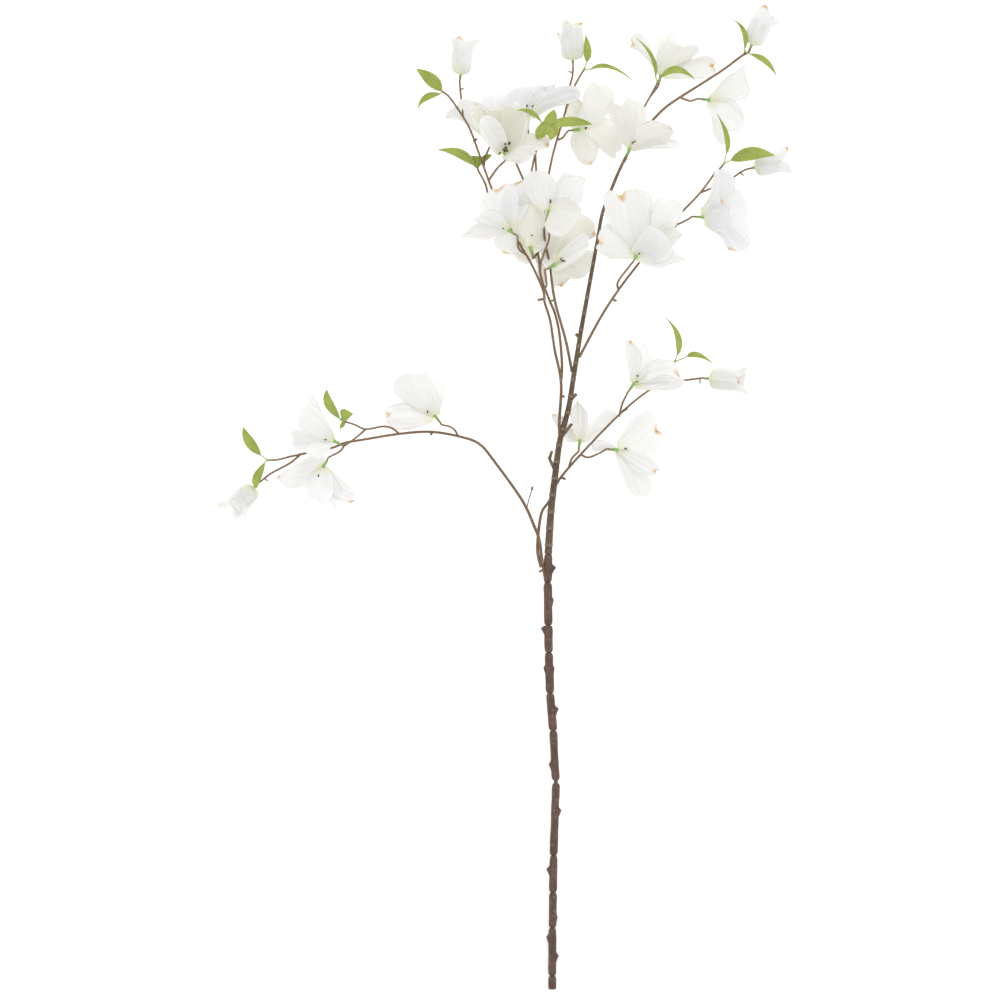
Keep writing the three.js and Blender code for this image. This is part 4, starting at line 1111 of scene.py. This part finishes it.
# %% Stem routes
LEADER = [
    (-4, TRUNK_END, 32), (-1, 528, 34.5), (4, 571, 37), (9, 607, 39), (18, 640, 41), (24, 677, 43),
    (31, 721, 46), (36, 749, 49), (44, 793, 54), (50, 826, 55), (55, 854, 55), (63, 876, 54),
    (77, 909, 53), (94, 939, 52), (110, 957, 52), (124, 971, 52), (141, 983, 52), (185, 1011, 50),
    (208, 1028, 49),
]
LEFT_ARCH = [
    (-6, 447, 30), (-11, 474, 33), (-14, 496, 34), (-19, 510, 35), (-33, 540, 37), (-63, 582, 40),
    (-79, 601, 41), (-98, 609, 41), (-132, 615, 41), (-167, 613, 40), (-211, 606, 38),
    (-228, 603, 37), (-244, 597, 37), (-279, 590, 36),
]
RIGHT_LOW = [
    (-12, 466, 33), (-16, 487, 31), (-12, 524, 27), (-3, 539, 26), (6, 559, 26), (18, 575, 28),
    (53, 613, 33), (85, 644, 35), (112, 664, 34), (130, 670, 33), (147, 672, 32),
]
CROWN_LEFT = [
    (9, 605, 39), (8, 625, 42), (10, 669, 45), (3, 705, 48), (-2, 737, 50), (-8, 757, 51),
    (-10, 771, 51), (-24, 802, 51), (-45, 837, 48), (-64, 877, 46), (-76, 909, 50),
    (-90, 947, 54), (-103, 969, 55), (-112, 982, 52),
]
CROWN_INNER = [
    (10, 671, 45), (11, 690, 42), (8, 724, 43), (3, 746, 43), (-2, 758, 43), (-12, 785, 44),
    (-15, 810, 44), (-24, 865, 43), (-26, 881, 45), (-21, 909, 51), (-18, 922, 53),
]
CROWN_MIDDLE = [
    (22, 681, 43), (15, 716, 47), (3, 760, 47), (-3, 802, 47), (-8, 826, 47), (-8, 862, 48),
    (-4, 895, 51), (1, 920, 54), (8, 945, 51), (17, 976, 46), (18, 993, 46),
]
CROWN_RIGHT = [
    (30, 697, 45), (53, 740, 44), (73, 771, 45), (95, 800, 47), (121, 834, 48), (141, 855, 49),
    (163, 878, 48), (180, 901, 46),
]
print("points on the leader:", len(LEADER))

# %% [markdown]
# ## Stalks and stubs
# The leader and six side stems each become one object, together with the thin stalks that grow
# from them and the stubs of shoots that were cut off. A stalk needs only its first points: its
# last ones follow from the foot of what it carries, so that it always runs straight into it.

# %% Stems
INTO_FOOT = (-5, -1.5, 1.2)  # the last points of a stalk, along the axis of what it carries
STALK_GIRTHS = (1.25, 1.05)
STUB_TAPER = 0.85


def to_foot(route, carried):
    """A route with its last places: up along the axis of what it carries, and into its foot."""
    foot, axis = feet[carried]
    return [*route, *(tuple(foot + axis * step) for step in INTO_FOOT)]


def stalk(carried, *route):
    """A thin stalk by way of a route to what it carries."""
    return to_foot(route, carried), *STALK_GIRTHS


def stub(start, end, girth=2.0):
    """A short cut-off shoot."""
    middle = (np.array(start) + np.array(end)) / 2
    return [start, tuple(middle), end], girth, girth * STUB_TAPER


STEMS = {
    # slot, sides, spacing of the rings in metres, lines with the girth at both ends
    "leader_stem": ("bark", 16, 0.0185, [
        (to_foot(LEADER, "bud_04"), 4.25, 1.3),
        stub((4, 571, 37), (-3, 586, 38)),
        stub((-3, 585, 38), (0, 594, 38), 1.9),
        stub((10, 609, 39), (22, 624, 40)),
        stub((19, 648, 41), (27, 657, 42)),
        stub((32, 717, 46), (26, 723, 46)),
        stalk("blossom_09", (142, 982, 52), (152, 979, 50)),
        stalk("blossom_11", (76, 907, 53)),
        stalk("blossom_10", (108, 984, 43)),
        stalk("leaves_top_middle", (94, 939, 52), (96, 955, 49), (100, 969, 46), (108, 984, 43)),
        stalk("leaves_top_right", (210, 1029, 49)),
    ]),
    "left_arching_stem": ("twig", 12, 0.05, [
        (LEFT_ARCH, 1.8, 1.35),
        stub((-9, 464, 32), (-14, 461, 34), 1.4),
        stub((-132, 615, 41), (-133, 612, 44), 1.6),
        ([(-28, 531, 36), (-25, 542, 38), (-22, 552, 39)], 0.7, 0.6),
        stub((-22, 551, 39), (-21.5, 555, 39.3), 1.3),
        stalk("blossom_01", (-103, 610, 41), (-107, 617, 42), (-113, 621, 42)),
        stalk("blossom_02", (-205, 618, 47), (-214, 610, 49)),
        stalk("blossom_03", (-227, 603, 38), (-233, 594, 38)),
        stalk("leaves_left_stem", (-168, 613, 40), (-176, 619, 42), (-186, 621, 44),
              (-205, 618, 47), (-217, 623, 47)),
        stalk("leaves_left_tip", (-277, 590, 36), (-288, 588, 35), (-299, 585, 34)),
        stalk("bud_01", (-277, 590, 36), (-288, 581, 34), (-299, 575, 32), (-310, 569, 29)),
        stub((-317, 564, 27), (-313, 561, 27), 0.9),
    ]),
    "right_low_stem": ("twig", 12, 0.06, [
        (to_foot(RIGHT_LOW, "bud_02"), 1.75, 1.1),
        stub((10, 565, 27), (15, 563, 28), 1.5),
        stub((78, 638, 34), (83, 641, 36), 1.6),
        stub((163, 673, 31), (163, 668, 31), 0.8),
        stalk("blossom_04", (19, 577, 28), (22, 586, 26)),
        stalk("blossom_05", (32, 590, 30), (40, 587, 32), (53, 592, 34)),
        stalk("blossom_06", (74, 632, 34), (77, 645, 39)),
        stalk("leaves_right_low", (128, 669, 33), (130, 678, 33)),
    ]),
    "crown_stem_left": ("twig", 12, 0.045, [
        (to_foot(CROWN_LEFT, "leaves_top_left"), 1.75, 1.1),
        stub((10, 654, 44), (14, 654, 44), 1.6),
        stub((-10, 761, 51), (-16, 760, 51), 1.5),
        stub((-86, 934, 52), (-83, 937, 54), 1.6),
        stalk("blossom_14", (-70, 891, 48), (-60, 905, 52)),
        stalk("blossom_15", (-75, 908, 50), (-73, 918, 46)),
        stalk("blossom_16", (-29, 810, 50), (-37, 817, 54)),
        stalk("blossom_18", (-10, 771, 51), (-6, 777, 53)),
        stalk("leaves_left_crown", (-55, 857, 47), (-68, 868, 44), (-73, 887, 43)),
        stalk("bud_05", (-98, 962, 55), (-100, 982, 53)),
        stub((-101, 991, 51), (-97, 993, 51), 0.9),
    ]),
    "crown_stem_inner": ("twig", 10, 0.055, [
        (CROWN_INNER, 1.55, 1.15),
        stalk("leaves_crown", (-18, 922, 53)),
        stalk("blossom_17", (-13, 793, 44), (-12, 802, 49), (-8, 814, 55), (-3, 830, 58)),
        stalk("blossom_19", (-16, 812, 44)),
        stalk("blossom_20", (-25, 870, 43), (-28, 884, 40), (-37, 905, 37), (-43, 919, 35)),
        stalk("blossom_13", (-25, 875, 44), (-18, 893, 43), (-18, 914, 45), (-19, 924, 47), (-24, 934, 49)),
    ]),
    "crown_stem_middle": ("twig", 10, 0.048, [
        (CROWN_MIDDLE, 1.65, 1.15),
        stub((3, 760, 47), (-2, 759, 49), 1.2),
        stub((22, 1010, 47), (18, 1012, 47), 0.8),
        stalk("bud_06", (18, 991, 46), (22, 1004, 47)),
        stalk("leaves_top_centre", (17, 974, 46), (20, 986, 47), (24, 994, 49), (29, 1003, 51)),
        stalk("blossom_12", (5, 936, 52), (11, 938, 48)),
    ]),
    "crown_stem_right": ("twig", 10, 0.052, [
        (CROWN_RIGHT, 1.55, 1.15),
        stub((133, 846, 49), (136, 840, 50), 1.5),
        stub((66, 761, 44), (71, 759, 45), 1.4),
        stub((207, 900, 43), (211, 897, 43), 0.9),
        stalk("leaves_right_stem", (178, 898, 46)),
        stalk("bud_03", (163, 878, 48), (175, 883, 41), (187, 889, 36), (199, 895, 38), (208, 901, 43)),
        stalk("blossom_08", (128, 840, 48), (140, 844, 50), (150, 849, 52)),
        stalk("blossom_07", (73, 772, 45), (73, 781, 50)),
    ]),
}
for name, (slot_name, sides, spacing, lines) in STEMS.items():
    made = stem_object(name + "_bark", lines, barks["stem_bark"], sides=sides, ring_spacing=spacing)
    settle(made, slot_name, name)
    print(name, "lines:", len(lines), "faces:", len(made.data.polygons))

# %% [markdown]
# ## The core
# The core is the rod that the bark sleeves are threaded on, and it shows in the gap between the
# fifth and the sixth. It goes through the same tree as the stems, but with no rings and a
# smoother skin.

# %% Core
CORE_ENDS = (-0.9, TRUNK_END - 0.35)
CORE_POINTS = 60
core_route = [tuple(trunk_at(y)) for y in np.linspace(*CORE_ENDS, CORE_POINTS)]
core_lines = [(core_route, CORE_RADIUS, CORE_RADIUS)]
core = stem_object("core_rod", core_lines, barks["core_wood"], ring_height=0.0, roughness_depth=0.0001)
settle(core, "core", "stem_core")
print("core faces:", len(core.data.polygons))

# %% [markdown]
# ## Petals
# A petal is a sheet of cloth cut narrow at the foot, widest a little past half way up and
# notched at the tip, then pressed into a shallow cup. The code does the same. It lays a grid
# over the cut shape, bends the grid's middle line from the calyx out to the tip and its rows
# into arcs, and last adds what the press and handling leave: pleats that fan out, a wavy rim, a
# pinched notch and a tip that curls. Each petal's character sets how much of each it has.

# %% Petal characters
CHARACTERS = {
    # depth of the notch, stain at it, curl of the tip and height of the rim's waves in
    # millimetres, pinch at the tip, width of the foot
    "plain": (0.0, 0.0, 1.2, 0.7, 0.0, 0.24),
    "broad": (0.0, 0.0, 1.2, 0.7, 0.0, 0.5),
    "notched": (0.08, 0.8, 1.5, 0.8, 0.0, 0.24),
    "scooped": (0.08, 0.1, 1.0, 0.9, 0.0, 0.24),
    "stained": (0.04, 0.85, 3.0, 0.9, 0.1, 0.24),
    "ruffled": (0.05, 0.0, 1.5, 2.4, 0.0, 0.3),
    "rolled": (0.0, 0.6, 7.0, 0.8, 0.5, 0.24),
    "spiked": (0.0, 0.15, 2.0, 0.8, 0.75, 0.24),
}
print("characters:", ", ".join(CHARACTERS))

# %% Petal measures
PETAL_ROWS = 36
PETAL_COLUMNS = 31
CLOTH_HALF = 0.24  # half the thickness of the cloth
CLOTH_RIM = 0.4  # what is left of that at the rim, as a share
FEET_RING = 1.8  # radius of the ring on which the petals' feet stand
CUP = 0.45  # a petal sets out partly along its blossom's axis, and for the rest to its tip
LOWEST_PETAL = 0.6  # no petal comes nearer to the surface than this
WIDEST = 0.6  # how far up a petal its two sides lie furthest apart
TIP_ROUNDNESS = 2.7  # 2 is a half circle, and more is blunter
CROWDING = 0.97  # near 1, the columns of a petal crowd towards its rim
NOTCH_WIDTH = 0.2
STAIN_WIDTH = 0.24
PINCH_FROM = 0.64  # how far up a pinch starts
CURL_FROM = 0.72
OPENING = (0.08, 0.5)  # where up a petal the pleats and waves set in, and where they are full
PLEATS = (8, 11)
PLEAT_HEIGHT = 0.5
FINE_PLEATS = 23
FINE_PLEAT_HEIGHT = 0.17
RIM_BAND = 7  # how far in from the rim its waves reach
RIM_WAVES = (5, 9)
CLOTH_RIPPLE = 26  # the size of the cloth's own slow waves
CLOTH_RIPPLE_HEIGHT = 0.8
HEM_BAND = 1.6  # the narrow strip along the rim that the press lifts
HEM_HEIGHT = 0.5
GREEN = 0.25  # how far up a blossom's petal the tint of its foot reaches
WARMTH_SPREAD = 0.12  # how far a petal's warmth may stray, either way, by chance


def bow(start, control, end, share):
    """Places along a line that sets out towards a control point and bends to its end."""
    share = np.asarray(share)[..., None]
    return start * (1 - share) ** 2 + control * (2 * share * (1 - share)) + end * (share * share)


def cloth_thickness(inside):
    """Half the thickness of the cloth, which thins out at its rim."""
    return CLOTH_HALF * (CLOTH_RIM + (1 - CLOTH_RIM) * ease(inside, 0, 2))


print("points on a petal:", 2 * PETAL_ROWS * PETAL_COLUMNS)

# %% Petal shape


def petal_shell(centre, axis, warmth, seed, left, tip, right, character, shade=0):
    """One petal as a closed thin sheet, through its tip and the two points where it is widest."""
    notch_depth, stained, curl, wave, pinch, claw = CHARACTERS[character]
    random = np.random.RandomState(seed)
    along = unit(axis)
    tip = np.array(tip, float)
    reach = np.linalg.norm(tip)
    heading = tip / reach
    outwards = unit(heading - along * np.dot(heading, along))
    foot = outwards * FEET_RING
    control = foot + unit(along * CUP + heading * (1 - CUP)) * 0.5 * reach
    beside = bow(foot, control, tip, WIDEST) * [1, 1, 0]
    to_left = np.array(left, float) - beside
    to_right = np.array(right, float) - beside
    spread = (to_right - to_left) / 2
    sag = (to_right + to_left) / 2

    # the cut shape: s runs along each column, t across, and u is the true share of the length
    s = np.linspace(0, 1, PETAL_ROWS)[:, None]
    t = np.sin(np.linspace(-1, 1, PETAL_COLUMNS) * math.pi / 2 * CROWDING)[None, :]
    t = t / t.max()
    notch_at = random.uniform(-0.25, 0.25)
    notch = np.exp(-(((t - notch_at) / NOTCH_WIDTH) ** 2))
    end = WIDEST + (1 - WIDEST) * np.sqrt(1 - np.abs(t) ** TIP_ROUNDNESS) - notch_depth * notch
    u = s * end
    half = claw + (1 - claw) * np.sin(math.pi / 2 * np.minimum(1, u / WIDEST)) ** 0.85
    half = (half * (1 - pinch * ease(u, PINCH_FROM, 1.0)))[..., None]
    t_side = t[..., None]
    grid = np.array(centre, float) + bow(foot, control, tip, u)
    grid = grid + spread * (half * t_side) + sag * (half * t_side * t_side)

    # what the press and handling leave: pleats, waves along the rim, a curled tip and a hem
    normal = surface_normals(grid)
    if np.dot(normal[PETAL_ROWS // 2, PETAL_COLUMNS // 2], along - outwards) < 0:
        normal = -normal
    open_part = ease(u, *OPENING)
    inside = np.minimum((1 - np.abs(t)) * np.linalg.norm(spread), (1 - s) * reach * 0.8)
    edge = 1 - ease(inside, 0, RIM_BAND)
    round_rim = np.arctan2(t * 0.9, u - 0.3)
    phase = random.uniform(0, 2 * math.pi, 4)
    waves = np.sin(round_rim * RIM_WAVES[0] + phase[0])
    waves = waves + 0.6 * np.sin(round_rim * RIM_WAVES[1] + phase[1])
    pleats = np.sin(t * random.uniform(*PLEATS) + phase[2]) * PLEAT_HEIGHT
    pleats = pleats + np.sin(t * FINE_PLEATS + phase[3]) * FINE_PLEAT_HEIGHT
    lift = pleats * open_part * (1 - 0.6 * edge) + wave * edge**1.5 * waves * open_part
    lift = lift + ripple(grid, CLOTH_RIPPLE, seed + 1) * CLOTH_RIPPLE_HEIGHT * open_part
    lift = lift - curl * ease(s, CURL_FROM, 1.0) ** 2 * (0.6 + 0.4 * np.cos(t * 2.2))
    lift = lift + HEM_HEIGHT * (1 - ease(inside, 0, HEM_BAND)) * open_part
    grid = grid + normal * lift[..., None]
    grid = grid - heading * (0.35 * curl * ease(s, 0.86, 1.0) ** 2)[..., None]
    grid[..., 2] = LOWEST_PETAL + np.maximum(0, grid[..., 2] - LOWEST_PETAL)

    # the stain sits beside the notch, with uneven spots along the rest of the tip
    spot = ripple(grid, 7, seed + 5) * 0.25
    stain = np.exp(-(((t - notch_at - 0.06) / STAIN_WIDTH) ** 2)) * ease(s, 0.84, 0.98)
    stain = np.clip((stain + spot * ease(s, 0.88, 1.0)) * stained, 0, 1)
    # a petal's own last number is painted shading: above 0 it adds olive shade, below 0 cool light
    tone_and_shading = warmth + shade + random.uniform(-WARMTH_SPREAD, WARMTH_SPREAD)
    marks = {"stain": stain, "warmth": tone_and_shading, "inside": inside, "green": GREEN}
    return sheet_shell(grid, cloth_thickness(inside), t, u, **marks)


trial = petal_shell((0, 0, 40), (0, 0, 1), 0, 1, (-20, 30, 0), (0, 50, 5), (20, 30, 0), "plain")
print("faces on a trial petal:", len(trial["quads"]))

# %% [markdown]
# ## Calyx and stamens
# The calyx is the green cone that holds the petals. It is turned on a lathe in code: a short
# profile, from the stalk's end to just past the petals' feet. The stamens are a handful of
# fine threads that stand out of its middle, each with a dark anther at its end. A thread's
# open ends lie inside the calyx and inside the anther, so it needs no caps.

# %% Calyx and stamen shapes
CALYX_SHARES = np.array([0, 0, 0.06, 0.3, 0.55, 0.8, 0.95, 1.0, 1.12, 1.2])
CALYX_WIDTHS = np.array([0.05, 0.85, 0.95, 1.0, 1.1, 1.3, 1.5, 1.6, 1.4, 0.1]) * 1.5
THREAD_SIDES = 6
THREAD_LENGTHS = (6, 12)
THREAD_SHARES = (0, 0.35, 0.7, 1)
THREAD_GIRTHS = [0.26, 0.22, 0.2, 0.18]
ANTHER_LENGTHS = (-1.9, -1.6, -0.8, 0.3, 1.3, 1.8)
ANTHER_GIRTHS = np.array([0.05, 0.6, 1.0, 1.05, 0.7, 0.05])


def calyx_shell(foot, axis, length):
    """The green cone under a blossom or a bud."""
    return lathe_shell(foot, axis, CALYX_SHARES * length, CALYX_WIDTHS)


def thread_shell(points, girths, thread):
    """A thin tube through a few points: a thread where the mark is 1, an anther where it is 0."""
    points = np.asarray(points, float)
    hoop = hoop_round(unit(points[-1] - points[0]), [0.3, 0.5, 0.8], THREAD_SIDES)
    rings = points[:, None, :] + hoop[None] * np.asarray(girths, float)[:, None, None]
    count = len(points) * THREAD_SIDES
    return rings_shell(rings, np.zeros((count, 2)), thread=np.full(count, float(thread)))


def stamen_shells(centre, axis, count, size, seed):
    """Threads that fan out of the middle of a blossom, with their anthers."""
    random = np.random.RandomState(seed)
    along = unit(axis)
    start = np.array(centre, float) + along * 0.5
    shells = []
    for _ in range(count):
        lean = unit(along + random.normal(size=3) * 0.35)
        length = random.uniform(*THREAD_LENGTHS)
        bowed = [
            start + lean * length * share + along * length * 0.1 * share**2
            for share in THREAD_SHARES
        ]
        shells.append(thread_shell(bowed, THREAD_GIRTHS, 1))
        turn = unit(lean + random.normal(size=3) * 0.7)
        anther = [bowed[-1] + turn * step * size for step in ANTHER_LENGTHS]
        shells.append(thread_shell(anther, ANTHER_GIRTHS * size, 0))
    return shells


print("rings on a calyx:", len(CALYX_SHARES))

# %% [markdown]
# ## Blossoms put together
# Each blossom is three objects, one for each material: its petals, its calyx and its stamens.
# Every random draw has a seed made of the blossom's number, so a blossom looks the same each
# time the script runs. The petals stand for the blossom's plain solid, and the other two ride along.

# %% Blossoms
PETAL_SEED = 1000
STAMEN_SEED = 500
STAMENS = {"blossom_14": (10, 1.15), "blossom_07": (2, 0.8), "blossom_19": (1, 0.9)}
OTHER_STAMENS = (3, 0.9)  # how many, and the size of their anthers


def add_calyx(name, foot, axis, length):
    """The calyx of a blossom or a bud."""
    shell = calyx_shell(foot, axis, length)
    settle(make_object(name + "_calyx", [shell], calyx_material), "leaf")


for number, (name, (centre, axis, warmth, petals)) in enumerate(BLOSSOMS.items(), 1):
    shells = [
        petal_shell(centre, axis, warmth, PETAL_SEED + number * 10 + i, *petal)
        for i, petal in enumerate(petals)
    ]
    settle(make_object(name + "_petals", shells, petal_material), "petal", name)
    add_calyx(name, *feet[name], CALYX_LENGTH)
    stamens = stamen_shells(centre, axis, *STAMENS.get(name, OTHER_STAMENS), STAMEN_SEED + number)
    settle(make_object(name + "_stamens", stamens, stamen_material), "twig")
print("blossoms made:", len(BLOSSOMS))

# %% [markdown]
# ## Buds
# A bud is four or five petals rolled round each other: each tucks one edge under its neighbour
# and lays the other over the next. Round the belly they make one smooth bulb, and at the mouth
# their tips turn outwards. Every petal is a sheet laid on the same turned profile, a little
# further in at one edge than at the other.

# %% Bud shape
BUD_ROWS = 34
BUD_COLUMNS = 27
BUD_BASE = 4.0  # from the foot of the calyx to the feet of the petals
BUD_MOUTH = 0.94  # radius of the mouth before its tips turn out, as a share of the belly's
BUD_OVERLAP = 0.5  # how far out one edge lies, and how far in the other
FLUTES = 9  # shallow flutes, in radians of their wave across half a petal
FLUTE_DEPTH = 0.3
MOUTH_WAVES = 5
MOUTH_WAVE_HEIGHT = 0.7
BUD_RIPPLE = 24
BUD_RIPPLE_HEIGHT = 0.5
BUD_GREEN = 0.38
BUD_SHARES = [0.0, 0.02, 0.06, 0.13, 0.25, 0.4, 0.6, 1.0]
BUD_RADII = [0.15, 0.45, 0.72, 0.89, 0.98, 1.0, 0.99, BUD_MOUTH]
BUD_LOOKS = {
    # stain at the tip, olive cast, narrowing of the tip, drop of the corners, where it turns out
    "lobe": (0.0, 0.0, 0.0, 0.05, 0.6),
    "lobe_stained": (0.75, 0.1, 0.0, 0.05, 0.6),
    "tip": (0.0, 0.0, 0.25, 0.14, 0.6),
    "tip_stained": (0.85, 0.1, 0.35, 0.16, 0.6),
    "tip_olive": (0.3, 1.0, 0.3, 0.14, 0.55),
}


def bud_petal_shell(foot, axis, belly, warmth, seed, tip, half_angle, look):
    """One petal of a bud: a sheet round the bud's belly whose broad end turns out to its tip."""
    stained, olive, narrow, drop, turning = BUD_LOOKS[look]
    random = np.random.RandomState(seed)
    along = unit(axis)
    across = unit(np.cross(along, [0, 0, 1]))
    up = np.cross(across, along)
    reach, aside, above = np.dot(tip, along), np.dot(tip, across), np.dot(tip, up)
    tip_turn = math.atan2(above, aside)
    outwards = math.cos(tip_turn) * across + math.sin(tip_turn) * up
    flare = math.hypot(above, aside) - belly * BUD_MOUTH
    s = np.linspace(0, 1, BUD_ROWS)[:, None]
    t = np.linspace(-1, 1, BUD_COLUMNS)[None, :]
    end = reach * (1 - drop * np.abs(t) ** 2.4)
    height = BUD_BASE + (end - BUD_BASE) * s
    share = (height - BUD_BASE) / (reach - BUD_BASE)
    radius = np.interp(share, BUD_SHARES, BUD_RADII) * belly
    flutes = FLUTE_DEPTH * np.sin(t * FLUTES + random.uniform(0, 6))
    radius = radius + BUD_OVERLAP * t + flutes * ease(share, 0.15, 0.5)
    waves = MOUTH_WAVE_HEIGHT * np.sin(t * MOUTH_WAVES + random.uniform(0, 6))
    radius = radius + waves * ease(share, 0.85, 1.02)
    turn = tip_turn + t * math.radians(half_angle) * (1 - narrow * ease(share, 0.7, 1.0))
    hoop = np.cos(turn)[..., None] * across + np.sin(turn)[..., None] * up
    lean = flare * (1 - 0.25 * t * t) * ease(s, turning, 1.05) ** 1.3
    grid = foot + along * height[..., None] + hoop * radius[..., None] + outwards * lean[..., None]
    grid = grid + ripple(grid, BUD_RIPPLE, seed)[..., None] * hoop * BUD_RIPPLE_HEIGHT
    inside = np.minimum((1 - np.abs(t)) * 12 + 3 * (1 - ease(share, 0.6, 0.9)), (1 - s) * reach)
    stain = stained * ease(s, 0.88, 0.99) * np.exp(-((t / 0.6) ** 2))
    tone_and_shading = warmth + olive * ease(share, 0.7, 0.95)
    marks = {"stain": stain, "warmth": tone_and_shading, "inside": inside, "green": BUD_GREEN}
    return sheet_shell(grid, cloth_thickness(inside), t, share, **marks)


print("points on a bud's petal:", 2 * BUD_ROWS * BUD_COLUMNS)

# %% Buds
BUD_SEED = 700
BUD_CALYX = 6.5
for number, (name, (_, axis, belly, warmth, petals)) in enumerate(BUDS.items(), 1):
    shells = [
        bud_petal_shell(feet[name][0], axis, belly, warmth, BUD_SEED + number * 10 + i, *petal)
        for i, petal in enumerate(petals)
    ]
    settle(make_object(name + "_petals", shells, petal_material), "petal", name)
    add_calyx(name, *feet[name], BUD_CALYX)
print("buds made:", len(BUDS))

# %% [markdown]
# ## Leaves
# Each leaf is a blade with a toothed edge, folded a little along its midrib and bowed from foot
# to tip, on a short stalk of its own. It is laid out on a grid like a petal: the width follows
# an oval that starts at the stalk, the teeth are small steps added to that width, and the side
# veins press shallow furrows into the blade.

# %% Leaf shape
LEAF_ROWS = 48
LEAF_COLUMNS = 13
LEAF_WIDEST = 0.42  # how far up a blade its two sides lie furthest apart
TEETH = 13  # on a blade of the length below
TOOTHED_LENGTH = 45
TOOTH_DEPTH = 0.1
RISE = 0.04  # how far a blade bows up where it is widest, as a share of its length
FOLD = 0.3  # how steeply a blade rises from its midrib to its rim
ARCH = 0.6
FURROW_DEPTH = 0.22
BLADE_WAVE = 0.4
BLADE_WAVES = 12
BLADE_HALF = 0.3  # half the thickness at the midrib; half of it is left at the rim
BLADE_FOOT = 0.2  # what the foot is thicker by


def leaf_shell(foot, seed, blade_foot, left, tip, right):
    """One blade as a closed thin sheet, through its tip and the two points where it is widest."""
    random = np.random.RandomState(seed)
    start = np.array(blade_foot, float)
    end = np.array(tip, float)
    left = np.array([*left, 0.0])
    right = np.array([*right, 0.0])
    length = np.linalg.norm(end - start)
    spread = (right - left) / 2
    widest = (right + left) / 2
    widest[2] = start[2] + (end[2] - start[2]) * LEAF_WIDEST + RISE * length
    u = np.linspace(0, 1, LEAF_ROWS)[:, None]
    t = np.linspace(-1, 1, LEAF_COLUMNS)[None, :]
    rim = np.abs(t)
    at_start, at_end = (1 - LEAF_WIDEST) ** 2, LEAF_WIDEST**2
    control = (widest - start * at_start - end * at_end) / (1 - at_start - at_end)
    middle = bow(start, control, end, u)
    tangent = unit((control - start) * (1 - u)[..., None] + (end - control) * u[..., None])
    side = unit(spread)
    up = unit(np.cross(side, tangent))
    up = up * np.where(up[..., 2:] < 0, -1, 1)
    oval = np.sin(math.pi * u**0.78) ** 0.85
    saw = (u * (TEETH * length / TOOTHED_LENGTH)) % 1.0
    toothed = oval * (1 + TOOTH_DEPTH * (saw - 0.5) * rim**6 * ease(u, 0.05, 0.2))
    half = np.maximum(0.5 * (1 - ease(u, 0.9, 1.0) * 0.8), np.linalg.norm(spread) * toothed)
    height = rim * half * FOLD - ARCH * rim**2 * ease(u, 0.1, 0.6)
    vein = np.abs((u * LEAF_VEINS - rim * LEAF_SLANT) % 1.0 - 0.5)
    height = height - FURROW_DEPTH * vein * (1 - rim**4)
    wave = np.sin(u * BLADE_WAVES + random.uniform(0, 6) + np.sign(t))
    height = height + BLADE_WAVE * rim**2 * wave * oval
    grid = foot + middle + side * (t * half)[..., None] + up * height[..., None]
    thickness = BLADE_HALF * (0.5 + 0.5 * (1 - rim**4)) + BLADE_FOOT * (1 - ease(u, 0.0, 0.12))
    return sheet_shell(grid, thickness, t, u)


def leaf_stalk_shell(foot, blade_foot):
    """The short stalk of one leaf."""
    reach = np.linalg.norm(blade_foot)
    stations = [-0.5, -0.4, 0.5 * reach, reach + 0.8, reach + 1.2]
    return lathe_shell(foot, blade_foot, stations, [0.1, 0.75, 0.6, 0.55, 0.1], 10)


print("points on a blade:", 2 * LEAF_ROWS * LEAF_COLUMNS)

# %% Leaves
LEAF_SEED = 900
KNOT_LENGTHS = [-0.4, -0.2, 0.8, 2.0, 2.6, 2.8]  # the knot that the stalks of a sprig grow from
KNOT_WIDTHS = [0.1, 1.15, 1.5, 1.25, 0.8, 0.1]
for number, (name, (_, _, blades)) in enumerate(SPRIGS.items(), 1):
    foot, axis = feet[name]
    shells = [leaf_shell(foot, LEAF_SEED + number * 10 + i, *blade) for i, blade in enumerate(blades)]
    shells += [leaf_stalk_shell(foot, blade_foot) for blade_foot, *_ in blades]
    shells.append(lathe_shell(foot, axis, KNOT_LENGTHS, KNOT_WIDTHS, 12))
    settle(make_object(name + "_blades", shells, leaf_material), "leaf", name)
print("sprigs made:", len(SPRIGS))

# %% [markdown]
# ## Bring the scene up to date
# The view layer is brought up to date once more, so that every piece stands where it was put.
# The finer pieces may not outgrow the imported model.

# %% Update
bpy.context.view_layer.update()
